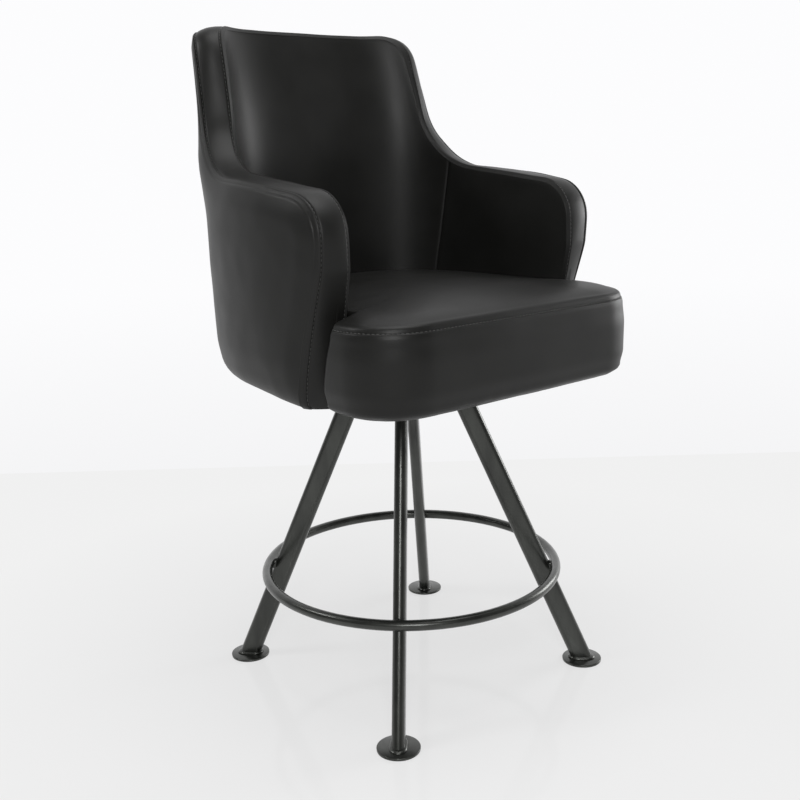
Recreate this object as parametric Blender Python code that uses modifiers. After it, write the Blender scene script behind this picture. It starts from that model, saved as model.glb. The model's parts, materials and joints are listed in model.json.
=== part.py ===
"""Gaming stool: a padded tub seat that turns on a welded four-legged base with a ring footrest.

Metres, +Z up. The origin is on the floor, under the swivel's axis. The sitter faces -Y, so the sitter's
right hand is on the -X side.
"""
import bisect
import math

import bmesh
import bpy
from mathutils import Matrix, Vector

# Clearances that many pieces share
TOUCH_GAP = 0.0003
CUT_OVERRUN = 0.004
WELD_DISTANCE = 0.00001

# Legs: flat-sided oval tube, its broad side in the upright plane through the swivel's axis
FOOT_CIRCLE_RADIUS = 0.280
LEG_TOP_CIRCLE_RADIUS = 0.078
LEG_BROAD = 0.0325
LEG_NARROW = 0.0190
LEG_WALL = 0.0016
LEG_NOSE_STEPS = 6
LEG_DEGREES = {"front_right": 225, "front_left": 315, "rear_left": 45, "rear_right": 135}

# Feet: a disc under each leg and the bead of weld round the leg on it
FOOT_DISC_RADIUS = 0.03175
FOOT_DISC_THICKNESS = 0.0040
FOOT_DISC_EDGE = 0.0008
FOOT_DISC_STEPS = 24
FOOT_WELD_SIZE = 0.0035

# Footrest ring: a round bar against the outer noses of the legs, with a weld at each
RING_BAR_RADIUS = 0.0080
RING_HEIGHT = 0.169
RING_STEPS = 56
RING_BAR_STEPS = 8
RING_WELD_RADIUS = 0.0090
RING_WELD_HALF_WIDTH = 0.0070

# Swivel: base plate, lower plate, caged balls, upper plate and hollow rivet
BASE_PLATE_SIDE = 0.150
BASE_PLATE_THICKNESS = 0.0050
PLATE_CORNER_RADIUS = 0.012
PLATE_CORNER_STEPS = 3
LOWER_PLATE_SIDE = 0.146
UPPER_PLATE_SIDE = 0.190
SWIVEL_PLATE_THICKNESS = 0.0030
PLATE_EYE_RADIUS = 0.0200
RACE_GAP = 0.0060
RACE_RADIUS = 0.045
RACE_STEPS = 24
BALL_RADIUS = 0.0040
BALL_COUNT = 12
CAGE_HALF_WIDTH = 0.0055
CAGE_THICKNESS = 0.0018
RIVET_RADIUS = 0.0100
RIVET_BORE_RADIUS = 0.0070
RIVET_FLANGE_RADIUS = 0.0160
RIVET_FLANGE_THICKNESS = 0.0020
RIVET_CLEARANCE = 0.0004
RIVET_STEPS = 16

# Base bolts: low heads between the swivel plates, nuts under the base plate
BOLT_RADIUS = 0.0040
BOLT_CLEARANCE = 0.0003
BOLT_STEPS = 10
BASE_BOLT_CIRCLE_RADIUS = 0.0625
BASE_BOLT_HEAD_RADIUS = 0.0065
BASE_BOLT_HEAD_HEIGHT = 0.0025
BASE_BOLT_TAIL = 0.0020
HEX_RADIUS = 0.0075
NUT_HEIGHT = 0.0065
BASE_BOLT_DEGREES = {"left": 0, "rear": 90, "right": 180, "front": 270}

# Seat bolts: hex heads under the upper plate, up into T-nuts in the seat board
SEAT_BOLT_OFFSET = 0.080
SEAT_BOLT_HEAD_HEIGHT = 0.0050
SEAT_BOLT_SETBACK = 0.0012
T_NUT_FLANGE_RADIUS = 0.0110
T_NUT_FLANGE_THICKNESS = 0.0016
T_NUT_BARREL_RADIUS = 0.0055
T_NUT_LENGTH = 0.0110

# Seat cushion in plan, along its seam: wings ahead of the arms and a stem between them
SEAT_HALF_WIDTH = 0.255
SEAT_FRONT_Y = -0.264
SEAT_FRONT_CORNER_RADIUS = 0.083
SEAT_FRONT_CORNER_STEPS = 5
SEAT_FRONT_BOW = 0.0035
SEAT_WING_CORNER_RADIUS = 0.010
SEAT_STEP_RADIUS = 0.008
SEAT_LEAST_RADIUS = 0.003
SEAT_FIT = 0.0016

# Seat cushion in height: lower edge, seam and crown
SEAT_BOTTOM = 0.4900
SEAT_SEAM_HEIGHT = 0.6100
SEAT_TOP_HEIGHT = 0.6390
SEAT_REAR_SEAM_HEIGHT = 0.6210
SEAT_SHOULDER_HEIGHT = 0.6330
SEAT_BULGE = 0.0085
SEAT_LOWER_INSET = 0.018
SEAT_SEAM_DIP = 0.0022
SEAT_SEAM_HALF_WIDTH = 0.0045
SEAT_CROWN_CENTRE_Y = -0.040

# What is inside and under the seat cushion
SEAT_COVER_THICKNESS = 0.0030
FOAM_FIT = 0.0015
SEAT_COVER_LIP = 0.016
SEAT_COVER_LIP_THICKNESS = 0.0007
SEAT_BOARD_THICKNESS = 0.0150
DUST_COVER_WINDOW_MARGIN = 0.006

# Tub in plan, on the inside face: straight arms that round into the back
TUB_HALF_WIDTH = 0.2105
TUB_FRONT_Y = -0.149
TUB_BEND_Y = -0.020
TUB_BACK_Y = 0.228
TUB_SQUARENESS = 3.9
TUB_PLAN_STEPS = 600
FACET_SAG = 0.0004
LONGEST_FACET = 0.080
SHORTEST_FACET = 0.006
TALLEST_STEP = 0.024

# Thickness of the padded wall between its two seams
WALL_AT_ARM_FRONT = 0.045
WALL_AT_ARM_MIDDLE = 0.056
WALL_AT_BACK = 0.0425
ARM_MIDDLE_STATION = 0.120
BACK_WALL_STATION = 0.345

# Tub in height: stations run along the inside face from the arm's front
TUB_BOTTOM = 0.4950
ARM_FRONT_HEIGHT = 0.7850
ARM_FRONT_RADIUS = 0.070
SHOULDER_STATION = 0.277
SHOULDER_HEIGHT = 0.7990
SHOULDER_RADIUS = 0.100
BACK_CORNER_STATION = 0.360
BACK_CORNER_HEIGHT = 1.0110
BACK_CORNER_RADIUS = 0.036
BACK_TOP_HEIGHT = 1.0160
EDGE_EASE = 0.0012
EDGE_EASE_START_STATION = 0.222
EDGE_EASE_END_STATION = 0.385
EDGE_EASE_FADE = 0.015
ARM_RAKE = 0.070
ARM_RAKE_TOP = 0.690
ARM_RAKE_REACH = 0.150

# Through the wall: inside panels, moulded frame, outer cover, and the band that closes the edge
PAD_THICKNESS = 0.0180
PAD_FIT = 0.0007
PAD_BOTTOM = 0.5400
PAD_DIP = 0.0025
PAD_DIP_REACH = 0.009
BACK_PAD_CROWN = 0.0050
BACK_PAD_CROWN_START = 0.660
FRAME_THICKNESS = 0.0120
FRAME_BOTTOM = 0.5120
BAND_THICKNESS = 0.0045
BAND_CROWN = 0.0030
COVER_FULLNESS = 0.0035
COVER_FULLNESS_REACH = 0.050
COVER_DRAW_SLOPE = 0.020
COVER_BOTTOM_RADIUS = 0.030
COVER_LEAST_THICKNESS = 0.0030

# The upright seam between an inside arm panel and the inside back panel: its lower end is further back
PANEL_SEAM_TOP_STATION = 0.262
PANEL_SEAM_BOTTOM_STATION = 0.335

# Angle brackets between the seat board and the tub frame, and their screws
BRACKET_THICKNESS = 0.0030
BRACKET_WIDTH = 0.040
BRACKET_HEIGHT = 0.044
BRACKET_REACH = 0.060
BRACKET_BEND_RADIUS = 0.0050
BRACKET_BEND_STEPS = 3
BRACKET_SCREW_INSET = 0.014
BRACKET_FRAME_OVERLAP = 0.010
ARM_BRACKET_Y = -0.045
BACK_BRACKET_X = 0.045
SCREW_RADIUS = 0.0025
SCREW_HEAD_RADIUS = 0.0050
SCREW_HEAD_HEIGHT = 0.0024
SCREW_STEPS = 8
BOARD_SCREW_LENGTH = 0.0130
FRAME_SCREW_LENGTH = 0.0115

# Shares of a height, a width or a turn, chosen by hand
FRONT_EDGE_SHARES = (0.25, 0.5)
LOWER_ROW_SHARES = (0.0, 0.33, 0.66, 1.0)
PAD_ROW_SHARES = (0.35, 0.75)
COVER_ROW_SHARES = (0.5, 0.84, 0.94)
BOTTOM_ROUND_SHARES = (0.0, 0.35, 0.70, 1.0)
BAND_ACROSS_SHARES = (0.0, 0.10, 0.50, 0.90, 1.0)
FACE_HEIGHT_SHARES = (0.0, 0.04, 0.14, 0.40, 0.74)
FACE_BULGE_SHARES = (-1.0, -0.42, 0.25, 1.0, 0.70)
CROWN_SHARES = (0.05, 0.18, 0.50, 1.0)
CROWN_WIDTH_SHARE = 0.60
CROWN_FRONT_SHARE = 0.106
CROWN_WAIST_SHARE = -0.053
CROWN_REAR_SHARE = -0.200
CROWN_CAP_SHARE = 0.45
CROWN_CAP_RISE_SHARE = 0.70
WELD_BULGE_SHARE = 0.62
INNER_ROWS = (2, 3, 6, 9, 11)

# Sizes that follow from those above, from the seat board down to the legs
BOARD_BOTTOM = SEAT_BOTTOM + SEAT_COVER_LIP_THICKNESS + TOUCH_GAP
BOARD_TOP = BOARD_BOTTOM + SEAT_BOARD_THICKNESS
UPPER_PLATE_TOP = SEAT_BOTTOM - TOUCH_GAP
UPPER_PLATE_BOTTOM = UPPER_PLATE_TOP - SWIVEL_PLATE_THICKNESS
LOWER_PLATE_TOP = UPPER_PLATE_BOTTOM - RACE_GAP
LOWER_PLATE_BOTTOM = LOWER_PLATE_TOP - SWIVEL_PLATE_THICKNESS
BALL_HEIGHT = (UPPER_PLATE_BOTTOM + LOWER_PLATE_TOP) / 2
BASE_PLATE_TOP = LOWER_PLATE_BOTTOM - TOUCH_GAP
BASE_PLATE_BOTTOM = BASE_PLATE_TOP - BASE_PLATE_THICKNESS
LEG_TOP = BASE_PLATE_BOTTOM - TOUCH_GAP
LEG_BOTTOM = FOOT_DISC_THICKNESS + TOUCH_GAP
LEG_SLOPE = (FOOT_CIRCLE_RADIUS - LEG_TOP_CIRCLE_RADIUS) / (LEG_TOP - LEG_BOTTOM)
LEG_TILT = math.atan(LEG_SLOPE)
T_NUT_TOP = BOARD_TOP - TOUCH_GAP
FRAME_DEPTH = PAD_THICKNESS + PAD_FIT
COVER_DEPTH = FRAME_DEPTH + FRAME_THICKNESS + TOUCH_GAP
EDGE_INSET = BAND_THICKNESS + TOUCH_GAP
SEAT_WING_REAR_Y = TUB_FRONT_Y - BAND_CROWN - SEAT_FIT
BRACKET_BOTTOM = SEAT_BOTTOM - TOUCH_GAP - BRACKET_THICKNESS
FRAME_SCREW_HEIGHT = FRAME_BOTTOM + BRACKET_FRAME_OVERLAP - BRACKET_BOTTOM


# Blender helpers


def clear_scene():
    """Remove every object that is in the scene."""
    for thing in list(bpy.data.objects):
        bpy.data.objects.remove(thing, do_unlink=True)


def new_collection(name):
    """A collection under the scene's own."""
    group = bpy.data.collections.new(name)
    bpy.context.scene.collection.children.link(group)
    return group


def make_material(name, colour, roughness, metallic=0.0):
    """A Principled material of one colour."""
    material = bpy.data.materials.new(name)
    material.use_nodes = True
    shader = material.node_tree.nodes["Principled BSDF"]
    shader.inputs["Base Color"].default_value = (*colour, 1.0)
    shader.inputs["Roughness"].default_value = roughness
    shader.inputs["Metallic"].default_value = metallic
    return material


def object_from_bmesh(name, form):
    """A new object that holds the bmesh, with its faces pointing out."""
    bmesh.ops.recalc_face_normals(form, faces=form.faces)
    mesh = bpy.data.meshes.new(name)
    form.to_mesh(mesh)
    form.free()
    return bpy.data.objects.new(name, mesh)


def split_quad(form, a, b, c, d):
    """Two triangles between four corners, split along the shorter diagonal."""
    if (a.co - c.co).length <= (b.co - d.co).length:
        form.faces.new((a, b, c))
        form.faces.new((a, c, d))
    else:
        form.faces.new((a, b, d))
        form.faces.new((b, c, d))


def close_as_strip(form, loop):
    """Close a loop by a strip of triangles between its rising half and its falling half."""
    count = len(loop)
    for here in range(count // 2 - 1):
        across = count - 1 - here
        form.faces.new((loop[here], loop[here + 1], loop[across]))
        form.faces.new((loop[here + 1], loop[across - 1], loop[across]))


def loft(name, sections, closed=False, first_pole=None, last_pole=None, strip_ends=False):
    """Skin a row of point loops of equal count.

    A closed row joins its last loop to its first. An open row's end closes on its pole, or as a strip, or flat.
    """
    form = bmesh.new()
    loops = [[form.verts.new(point) for point in section] for section in sections]
    pairs = list(zip(loops, loops[1:]))
    if closed:
        pairs.append((loops[-1], loops[0]))
    for first, second in pairs:
        for here in range(len(first)):
            after = (here + 1) % len(first)
            split_quad(form, first[here], first[after], second[after], second[here])
    ends = [] if closed else [(loops[0], first_pole), (loops[-1], last_pole)]
    for loop, pole in ends:
        if pole is None and strip_ends:
            close_as_strip(form, loop)
            continue
        if pole is None:
            form.faces.new(loop)
            continue
        tip = form.verts.new(pole)
        for here in range(len(loop)):
            form.faces.new((loop[here], loop[(here + 1) % len(loop)], tip))
    return object_from_bmesh(name, form)


def evaluated_mesh(thing):
    """The mesh of an object as its modifiers or its curve settings make it."""
    bpy.context.view_layer.update()
    return bpy.data.meshes.new_from_object(thing.evaluated_get(bpy.context.evaluated_depsgraph_get()))


def made_solid(source, name):
    """Replace a curve or a modified object by its welded mesh, in the same place."""
    bpy.context.scene.collection.objects.link(source)
    mesh = evaluated_mesh(source)
    mesh.transform(source.matrix_world)
    bpy.data.objects.remove(source, do_unlink=True)
    form = bmesh.new()
    form.from_mesh(mesh)
    bpy.data.meshes.remove(mesh)
    bmesh.ops.remove_doubles(form, verts=form.verts, dist=WELD_DISTANCE)
    return object_from_bmesh(name, form)


def flat_plate(name, outlines, bottom, thickness):
    """A plate from closed outlines in plan: the first is its edge and the others are holes."""
    curve = bpy.data.curves.new(name, "CURVE")
    curve.dimensions = "2D"
    curve.fill_mode = "BOTH"
    curve.extrude = thickness / 2
    for outline in outlines:
        spline = curve.splines.new("POLY")
        spline.points.add(len(outline) - 1)
        for point, (x, y) in zip(spline.points, outline):
            point.co = (x, y, 0.0, 1.0)
        spline.use_cyclic_u = True
    source = bpy.data.objects.new(name, curve)
    source.location.z = bottom + thickness / 2
    return made_solid(source, name)


def turned(name, profile, steps, closed=True):
    """A turned solid. The profile runs down the outer side, and closes on itself or at the axis."""
    mesh = bpy.data.meshes.new(name)
    edges = [(index, index + 1) for index in range(len(profile) - 1)]
    if closed:
        edges.append((len(profile) - 1, 0))
    mesh.from_pydata([(radius, 0.0, height) for radius, height in profile], edges, [])
    source = bpy.data.objects.new(name, mesh)
    screw = source.modifiers.new("Screw", "SCREW")
    screw.axis = "Z"
    screw.steps = steps
    screw.render_steps = steps
    screw.use_merge_vertices = True
    screw.merge_threshold = WELD_DISTANCE
    return made_solid(source, name)


def torus(name, ring_radius, bar_radius, height, ring_steps, bar_steps):
    """A level torus about the swivel's axis."""
    bpy.ops.mesh.primitive_torus_add(
        major_radius=ring_radius, minor_radius=bar_radius, major_segments=ring_steps, minor_segments=bar_steps)
    thing = bpy.context.object
    thing.name = name
    thing.data.name = name
    thing.data.transform(Matrix.Translation((0.0, 0.0, height)))
    for group in list(thing.users_collection):
        group.objects.unlink(thing)
    return thing


def cylinder(name, radius, low, high, steps, frame=None):
    """An upright cylinder between two heights with a corner towards +X, carried by a matrix where one is given."""
    form = bmesh.new()
    bmesh.ops.create_cone(form, cap_ends=True, segments=steps, radius1=radius, radius2=radius, depth=high - low)
    stand = Matrix.Translation((0.0, 0.0, (low + high) / 2)) @ Matrix.Rotation(-math.pi / 2, 4, "Z")
    bmesh.ops.transform(form, verts=form.verts, matrix=stand if frame is None else frame @ stand)
    return object_from_bmesh(name, form)


def combine(target, tools, operation, cutters):
    """Cut the tools from the target, or join them to it, and keep the result as its own mesh."""
    cutters.objects.link(target)
    for tool in tools:
        cutters.objects.link(tool)
        tool.hide_render = True
        tool.display_type = "WIRE"
        boolean = target.modifiers.new("Boolean", "BOOLEAN")
        boolean.operation = operation
        boolean.solver = "EXACT"
        boolean.object = tool
    mesh = evaluated_mesh(target)
    target.modifiers.clear()
    target.data = mesh
    mesh.name = target.name
    cutters.objects.unlink(target)
    for tool in tools:
        bpy.data.objects.remove(tool, do_unlink=True)
    return target


def place(thing, group, material, smooth_degrees, holder=None):
    """Put an object in its collection, with its material and shading, and hang it on its holder."""
    group.objects.link(thing)
    thing.data.materials.clear()
    thing.data.materials.append(material)
    thing.data.shade_smooth()
    thing.data.set_sharp_from_angle(angle=math.radians(smooth_degrees))
    if holder is not None:
        thing.parent = holder
        thing.matrix_parent_inverse = holder.matrix_world.inverted()
    return thing


def place_copies(template, frames, group, material, smooth_degrees, holder=None):
    """Place one object for each named matrix, all on the template's mesh."""
    for name, frame in frames.items():
        copy = bpy.data.objects.new(name, template.data)
        copy.matrix_world = frame
        place(copy, group, material, smooth_degrees, holder)
    bpy.data.objects.remove(template, do_unlink=True)


# Plan and path helpers


def circle_points(centre_x, centre_y, radius, count):
    """Points of a circle in plan."""
    turns = [2 * math.pi * index / count for index in range(count)]
    return [(centre_x + radius * math.cos(turn), centre_y + radius * math.sin(turn)) for turn in turns]


def rounded_path(corners):
    """Points along straight runs whose corners are (x, y), or (x, y, radius, arc steps) where they are round."""
    points = [Vector(corners[0][:2])]
    for before, corner, after in zip(corners, corners[1:], corners[2:]):
        here = Vector(corner[:2])
        if len(corner) == 2:
            points.append(here)
            continue
        radius, steps = corner[2:]
        back = (Vector(before[:2]) - here).normalized()
        ahead = (Vector(after[:2]) - here).normalized()
        half_angle = math.acos(max(-1.0, min(1.0, back.dot(ahead)))) / 2
        centre = here + (back + ahead).normalized() * (radius / math.sin(half_angle))
        start = here + back * (radius / math.tan(half_angle)) - centre
        end = here + ahead * (radius / math.tan(half_angle)) - centre
        sweep = -start.angle_signed(end)
        points.extend(centre + Matrix.Rotation(sweep * step / steps, 2) @ start for step in range(steps + 1))
    points.append(Vector(corners[-1][:2]))
    return points


def right_hand_normals(points, before_first=None, after_last=None):
    """Unit normals on the right-hand side of a path."""
    padded = [before_first or points[0]] + list(points) + [after_last or points[-1]]
    runs = [(after - before).normalized() for before, after in zip(padded, padded[2:])]
    return [Vector((run.y, -run.x)) for run in runs]


def smooth_share(value):
    """Zero below 0, one above 1, and an even S-curve between."""
    value = max(0.0, min(1.0, value))
    return value * value * (3 - 2 * value)


# Tub: the wall's own coordinates


def tub_plan_table():
    """Stations, points and outward normals along one half of the inside face, from the arm's front."""
    points = [Vector((TUB_HALF_WIDTH, TUB_FRONT_Y))]
    for step in range(TUB_PLAN_STEPS + 1):
        turn = math.pi / 2 * step / TUB_PLAN_STEPS
        across = max(0.0, math.cos(turn)) ** (2 / TUB_SQUARENESS)
        along = math.sin(turn) ** (2 / TUB_SQUARENESS)
        points.append(Vector((TUB_HALF_WIDTH * across, TUB_BEND_Y + (TUB_BACK_Y - TUB_BEND_Y) * along)))
    points[-1].x = 0.0
    stations = [0.0]
    for before, after in zip(points, points[1:]):
        stations.append(stations[-1] + (after - before).length)
    mirrored = Vector((-points[-2].x, points[-2].y))
    return stations, points, right_hand_normals(points, after_last=mirrored)


PLAN_STATIONS, PLAN_POINTS, PLAN_NORMALS = tub_plan_table()
TUB_LENGTH = PLAN_STATIONS[-1]


def wall_stations():
    """Stations along one half of the wall, close enough that a flat facet cuts little off its bend."""
    chosen = [0]
    for index in range(1, len(PLAN_STATIONS)):
        run = PLAN_STATIONS[index] - PLAN_STATIONS[chosen[-1]]
        turn = PLAN_NORMALS[chosen[-1]].angle(PLAN_NORMALS[index])
        if run * turn / 8 > FACET_SAG or run > LONGEST_FACET:
            chosen.append(max(index - 1, chosen[-1] + 1))
    stations = [PLAN_STATIONS[index] for index in chosen]
    while TUB_LENGTH - stations[-1] < SHORTEST_FACET:
        stations.pop()
    return stations + [TUB_LENGTH]


WALL_STATIONS = wall_stations()


def tub_point(along, depth, height):
    """A point in the tub's wall.

    along is the distance from the middle of the back on the inside face, negative towards the right arm.
    depth is the distance outwards from the inside face. The arm's front rakes back as it goes down.
    """
    station = max(0.0, TUB_LENGTH - abs(along))
    index = min(max(bisect.bisect_right(PLAN_STATIONS, station), 1), len(PLAN_STATIONS) - 1)
    low, high = PLAN_STATIONS[index - 1], PLAN_STATIONS[index]
    share = (station - low) / (high - low)
    inside = PLAN_POINTS[index - 1].lerp(PLAN_POINTS[index], share)
    normal = PLAN_NORMALS[index - 1].lerp(PLAN_NORMALS[index], share).normalized()
    drop = max(0.0, ARM_RAKE_TOP - height) / (ARM_RAKE_TOP - TUB_BOTTOM)
    rake = ARM_RAKE * drop * max(0.0, 1 - station / ARM_RAKE_REACH)
    side = -1 if along < 0 else 1
    return Vector((side * (inside.x + normal.x * depth), inside.y + normal.y * depth + rake, height))


def bottom_round(share):
    """Height and draw-in of the rounded lower edge, from its lip at 0 to the upright face at 1."""
    turn = math.pi / 2 * share
    return TUB_BOTTOM + COVER_BOTTOM_RADIUS * (1 - math.cos(turn)), COVER_BOTTOM_RADIUS * (1 - math.sin(turn))


FRONT_EDGE_HEIGHTS = [bottom_round(share)[0] for share in BOTTOM_ROUND_SHARES] + [ARM_RAKE_TOP]


def at_wall_stations(path):
    """The path with a point wherever it passes one of the wall's stations, and more where it is steep."""
    stops = [path[0]]
    for start, end in zip(path, path[1:]):
        for station in WALL_STATIONS:
            if start.x + SHORTEST_FACET < station < end.x - SHORTEST_FACET:
                stops.append(start.lerp(end, (station - start.x) / (end.x - start.x)))
        stops.append(end)
    result = [path[0]]
    for start, end in zip(stops, stops[1:]):
        parts = math.ceil((end.y - start.y) / TALLEST_STEP) if end.x > start.x else 1
        result.extend(start.lerp(end, part / parts) for part in range(1, max(1, parts) + 1))
    return result


def edge_ease(station):
    """Extra room under the edge band where it climbs round the bend, so that its twisted underside clears."""
    rising = smooth_share((station - EDGE_EASE_START_STATION) / EDGE_EASE_FADE)
    return EDGE_EASE * rising * smooth_share((EDGE_EASE_END_STATION - station) / EDGE_EASE_FADE)


def tub_edge():
    """The seams' line at the tub's edge as stations and heights, up the arm's front and on to the back's middle."""
    corners = [(0.0, height) for height in FRONT_EDGE_HEIGHTS]
    corners += [
        (0.0, ARM_FRONT_HEIGHT, ARM_FRONT_RADIUS, 6),
        (SHOULDER_STATION, SHOULDER_HEIGHT, SHOULDER_RADIUS, 5),
        (BACK_CORNER_STATION, BACK_CORNER_HEIGHT, BACK_CORNER_RADIUS, 5),
        (TUB_LENGTH, BACK_TOP_HEIGHT),
    ]
    return rounded_path(corners)


def wall_columns():
    """Stations of the columns under the edge band, each with the height of its top."""
    edge = tub_edge()
    insets = [EDGE_INSET + edge_ease(point.x) for point in edge]
    inner = [point + normal * inset for point, normal, inset in zip(edge, right_hand_normals(edge), insets)]
    inner[-1].x = TUB_LENGTH
    return at_wall_stations(inner[len(FRONT_EDGE_HEIGHTS):])


COLUMNS = wall_columns()


def column_top(station):
    """Height of the columns' tops at a station."""
    stations = [column.x for column in COLUMNS]
    index = min(max(bisect.bisect_right(stations, station), 1), len(stations) - 1)
    before, after = COLUMNS[index - 1], COLUMNS[index]
    share = max(0.0, min(1.0, (station - before.x) / (after.x - before.x)))
    return before.y + (after.y - before.y) * share


def wall_thickness(station):
    """Thickness of the padded wall between its two seams at the top."""
    front_share = smooth_share(station / ARM_MIDDLE_STATION)
    back_share = smooth_share((station - ARM_MIDDLE_STATION) / (BACK_WALL_STATION - ARM_MIDDLE_STATION))
    front = WALL_AT_ARM_FRONT + (WALL_AT_ARM_MIDDLE - WALL_AT_ARM_FRONT) * front_share
    return front + (WALL_AT_BACK - WALL_AT_ARM_MIDDLE) * back_share


def seam_depth(station, height):
    """Depth of the outer seam or of the cover's border: drawn in lower down and round the lower edge."""
    depth = wall_thickness(station) - COVER_DRAW_SLOPE * max(0.0, column_top(station) - height)
    if height < TUB_BOTTOM + COVER_BOTTOM_RADIUS:
        turn = math.acos(max(-1.0, min(1.0, 1 - (height - TUB_BOTTOM) / COVER_BOTTOM_RADIUS)))
        depth -= COVER_BOTTOM_RADIUS * (1 - math.sin(turn))
    return max(depth, FRAME_DEPTH + COVER_LEAST_THICKNESS)


def cover_depth(station, height, top):
    """Depth of the outer cover's face, fuller away from its seams."""
    near = max(0.0, min(top - height, station - EDGE_INSET)) / COVER_FULLNESS_REACH
    low = (height - TUB_BOTTOM) / COVER_BOTTOM_RADIUS
    return seam_depth(station, height) + COVER_FULLNESS * smooth_share(near) * smooth_share(low)


def both_halves(half):
    """Sections of the right half in order to the middle of the back, then the left half's back to its arm."""
    right = [section_at(-1) for section_at in half]
    left = [section_at(1) for section_at in reversed(half[:-1])]
    return right + left


# Tub: the pieces


def make_tub_frame():
    """Moulded plywood shell between the inside panels and the outer cover."""
    outer_depth = FRAME_DEPTH + FRAME_THICKNESS

    def section(side, column):
        """One loop up the inner face and down the outer."""
        along = side * (TUB_LENGTH - column.x)
        heights = (FRAME_BOTTOM, ARM_RAKE_TOP, column.y)
        inner = [tub_point(along, FRAME_DEPTH, height) for height in heights]
        outer = [tub_point(along, outer_depth, height) for height in reversed(heights)]
        return inner + outer

    half = [lambda side, column=column: section(side, column) for column in COLUMNS]
    return loft("tub_frame", both_halves(half))


def make_outer_cover():
    """Padded cover round the outside of arms and back, turned under the frame at its lower edge."""
    lip_top = FRAME_BOTTOM - TOUCH_GAP
    round_top = TUB_BOTTOM + COVER_BOTTOM_RADIUS

    def section(side, column):
        """One loop up the outer face, down the inner and back under the frame."""
        station, top = column
        heights = [bottom_round(share)[0] for share in BOTTOM_ROUND_SHARES]
        heights += [(round_top + ARM_RAKE_TOP) / 2, ARM_RAKE_TOP]
        heights += [ARM_RAKE_TOP + (top - ARM_RAKE_TOP) * share for share in COVER_ROW_SHARES] + [top]
        loop = [(cover_depth(station, height, top), height) for height in heights]
        loop += [(COVER_DEPTH, top), (COVER_DEPTH, ARM_RAKE_TOP), (COVER_DEPTH, lip_top)]
        loop += [(FRAME_DEPTH, lip_top), (FRAME_DEPTH, TUB_BOTTOM)]
        along = side * (TUB_LENGTH - station)
        return [tub_point(along, depth, height) for depth, height in loop]

    half = [lambda side, column=column: section(side, column) for column in COLUMNS]
    return loft("outer_cover", both_halves(half))


def panel_columns(first_top, last_top, first_foot, last_foot):
    """Slanted columns of an inside panel as (foot station, top station, height of the top)."""
    low, high = first_top + PAD_DIP_REACH, last_top - PAD_DIP_REACH
    slant = (last_top - first_top) / (last_foot - first_foot)
    heads = [column.x for column in COLUMNS] + [first_top + (foot - first_foot) * slant for foot in WALL_STATIONS]
    stations = [first_top, low]
    for head in sorted(heads):
        if stations[-1] + SHORTEST_FACET / 2 < head < high - SHORTEST_FACET / 2:
            stations.append(head)
    stations += [high, last_top]
    columns = []
    for station in stations:
        share = (station - first_top) / (last_top - first_top)
        columns.append((first_foot + (last_foot - first_foot) * share, station, column_top(station)))
    return columns


def panel_section(side, column, end_distance, crown):
    """One loop through an inside panel: up its face and down its back."""
    foot, head, top = column
    shoulder = top - PAD_DIP_REACH
    heights = [PAD_BOTTOM + (ARM_RAKE_TOP - PAD_BOTTOM) * share for share in LOWER_ROW_SHARES]
    heights += [ARM_RAKE_TOP + (shoulder - ARM_RAKE_TOP) * share for share in PAD_ROW_SHARES]
    heights += [shoulder, top]

    def along(height):
        """Distance from the middle of the back at a height on this slanted column."""
        return side * (TUB_LENGTH - foot - (head - foot) * (height - PAD_BOTTOM) / (top - PAD_BOTTOM))

    loop = []
    for height in heights:
        lift = smooth_share((height - BACK_PAD_CROWN_START) / (SHOULDER_HEIGHT - BACK_PAD_CROWN_START))
        lift *= smooth_share((top - height) / (SHOULDER_HEIGHT - BACK_PAD_CROWN_START))
        border = max(0.0, 1 - min(end_distance, top - height) / PAD_DIP_REACH)
        loop.append(tub_point(along(height), PAD_DIP * border - crown * lift, height))
    return loop + [tub_point(along(height), PAD_THICKNESS, height) for height in reversed(heights)]


def make_arm_panel(name, side):
    """Padded panel on the inside of one arm."""
    last_top = PANEL_SEAM_TOP_STATION - TOUCH_GAP / 2
    last_foot = PANEL_SEAM_BOTTOM_STATION - TOUCH_GAP / 2
    sections = []
    for column in panel_columns(EDGE_INSET, last_top, EDGE_INSET, last_foot):
        end_distance = min(column[1] - EDGE_INSET, last_top - column[1])
        sections.append(panel_section(side, column, end_distance, 0.0))
    return loft(name, sections, strip_ends=True)


def make_back_panel():
    """Padded panel on the inside of the back, gently crowned towards the sitter."""
    first_top = PANEL_SEAM_TOP_STATION + TOUCH_GAP / 2
    first_foot = PANEL_SEAM_BOTTOM_STATION + TOUCH_GAP / 2
    columns = panel_columns(first_top, TUB_LENGTH, first_foot, TUB_LENGTH)
    columns = [column for column in columns if column[1] != TUB_LENGTH - PAD_DIP_REACH]

    def section(side, column):
        """One loop, crowned more towards the middle of the back."""
        distance = column[1] - first_top
        crown = BACK_PAD_CROWN * smooth_share(distance / (TUB_LENGTH - first_top))
        return panel_section(side, column, distance, crown)

    half = [lambda side, column=column: section(side, column) for column in columns]
    return loft("inside_back_panel", both_halves(half), strip_ends=True)


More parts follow.
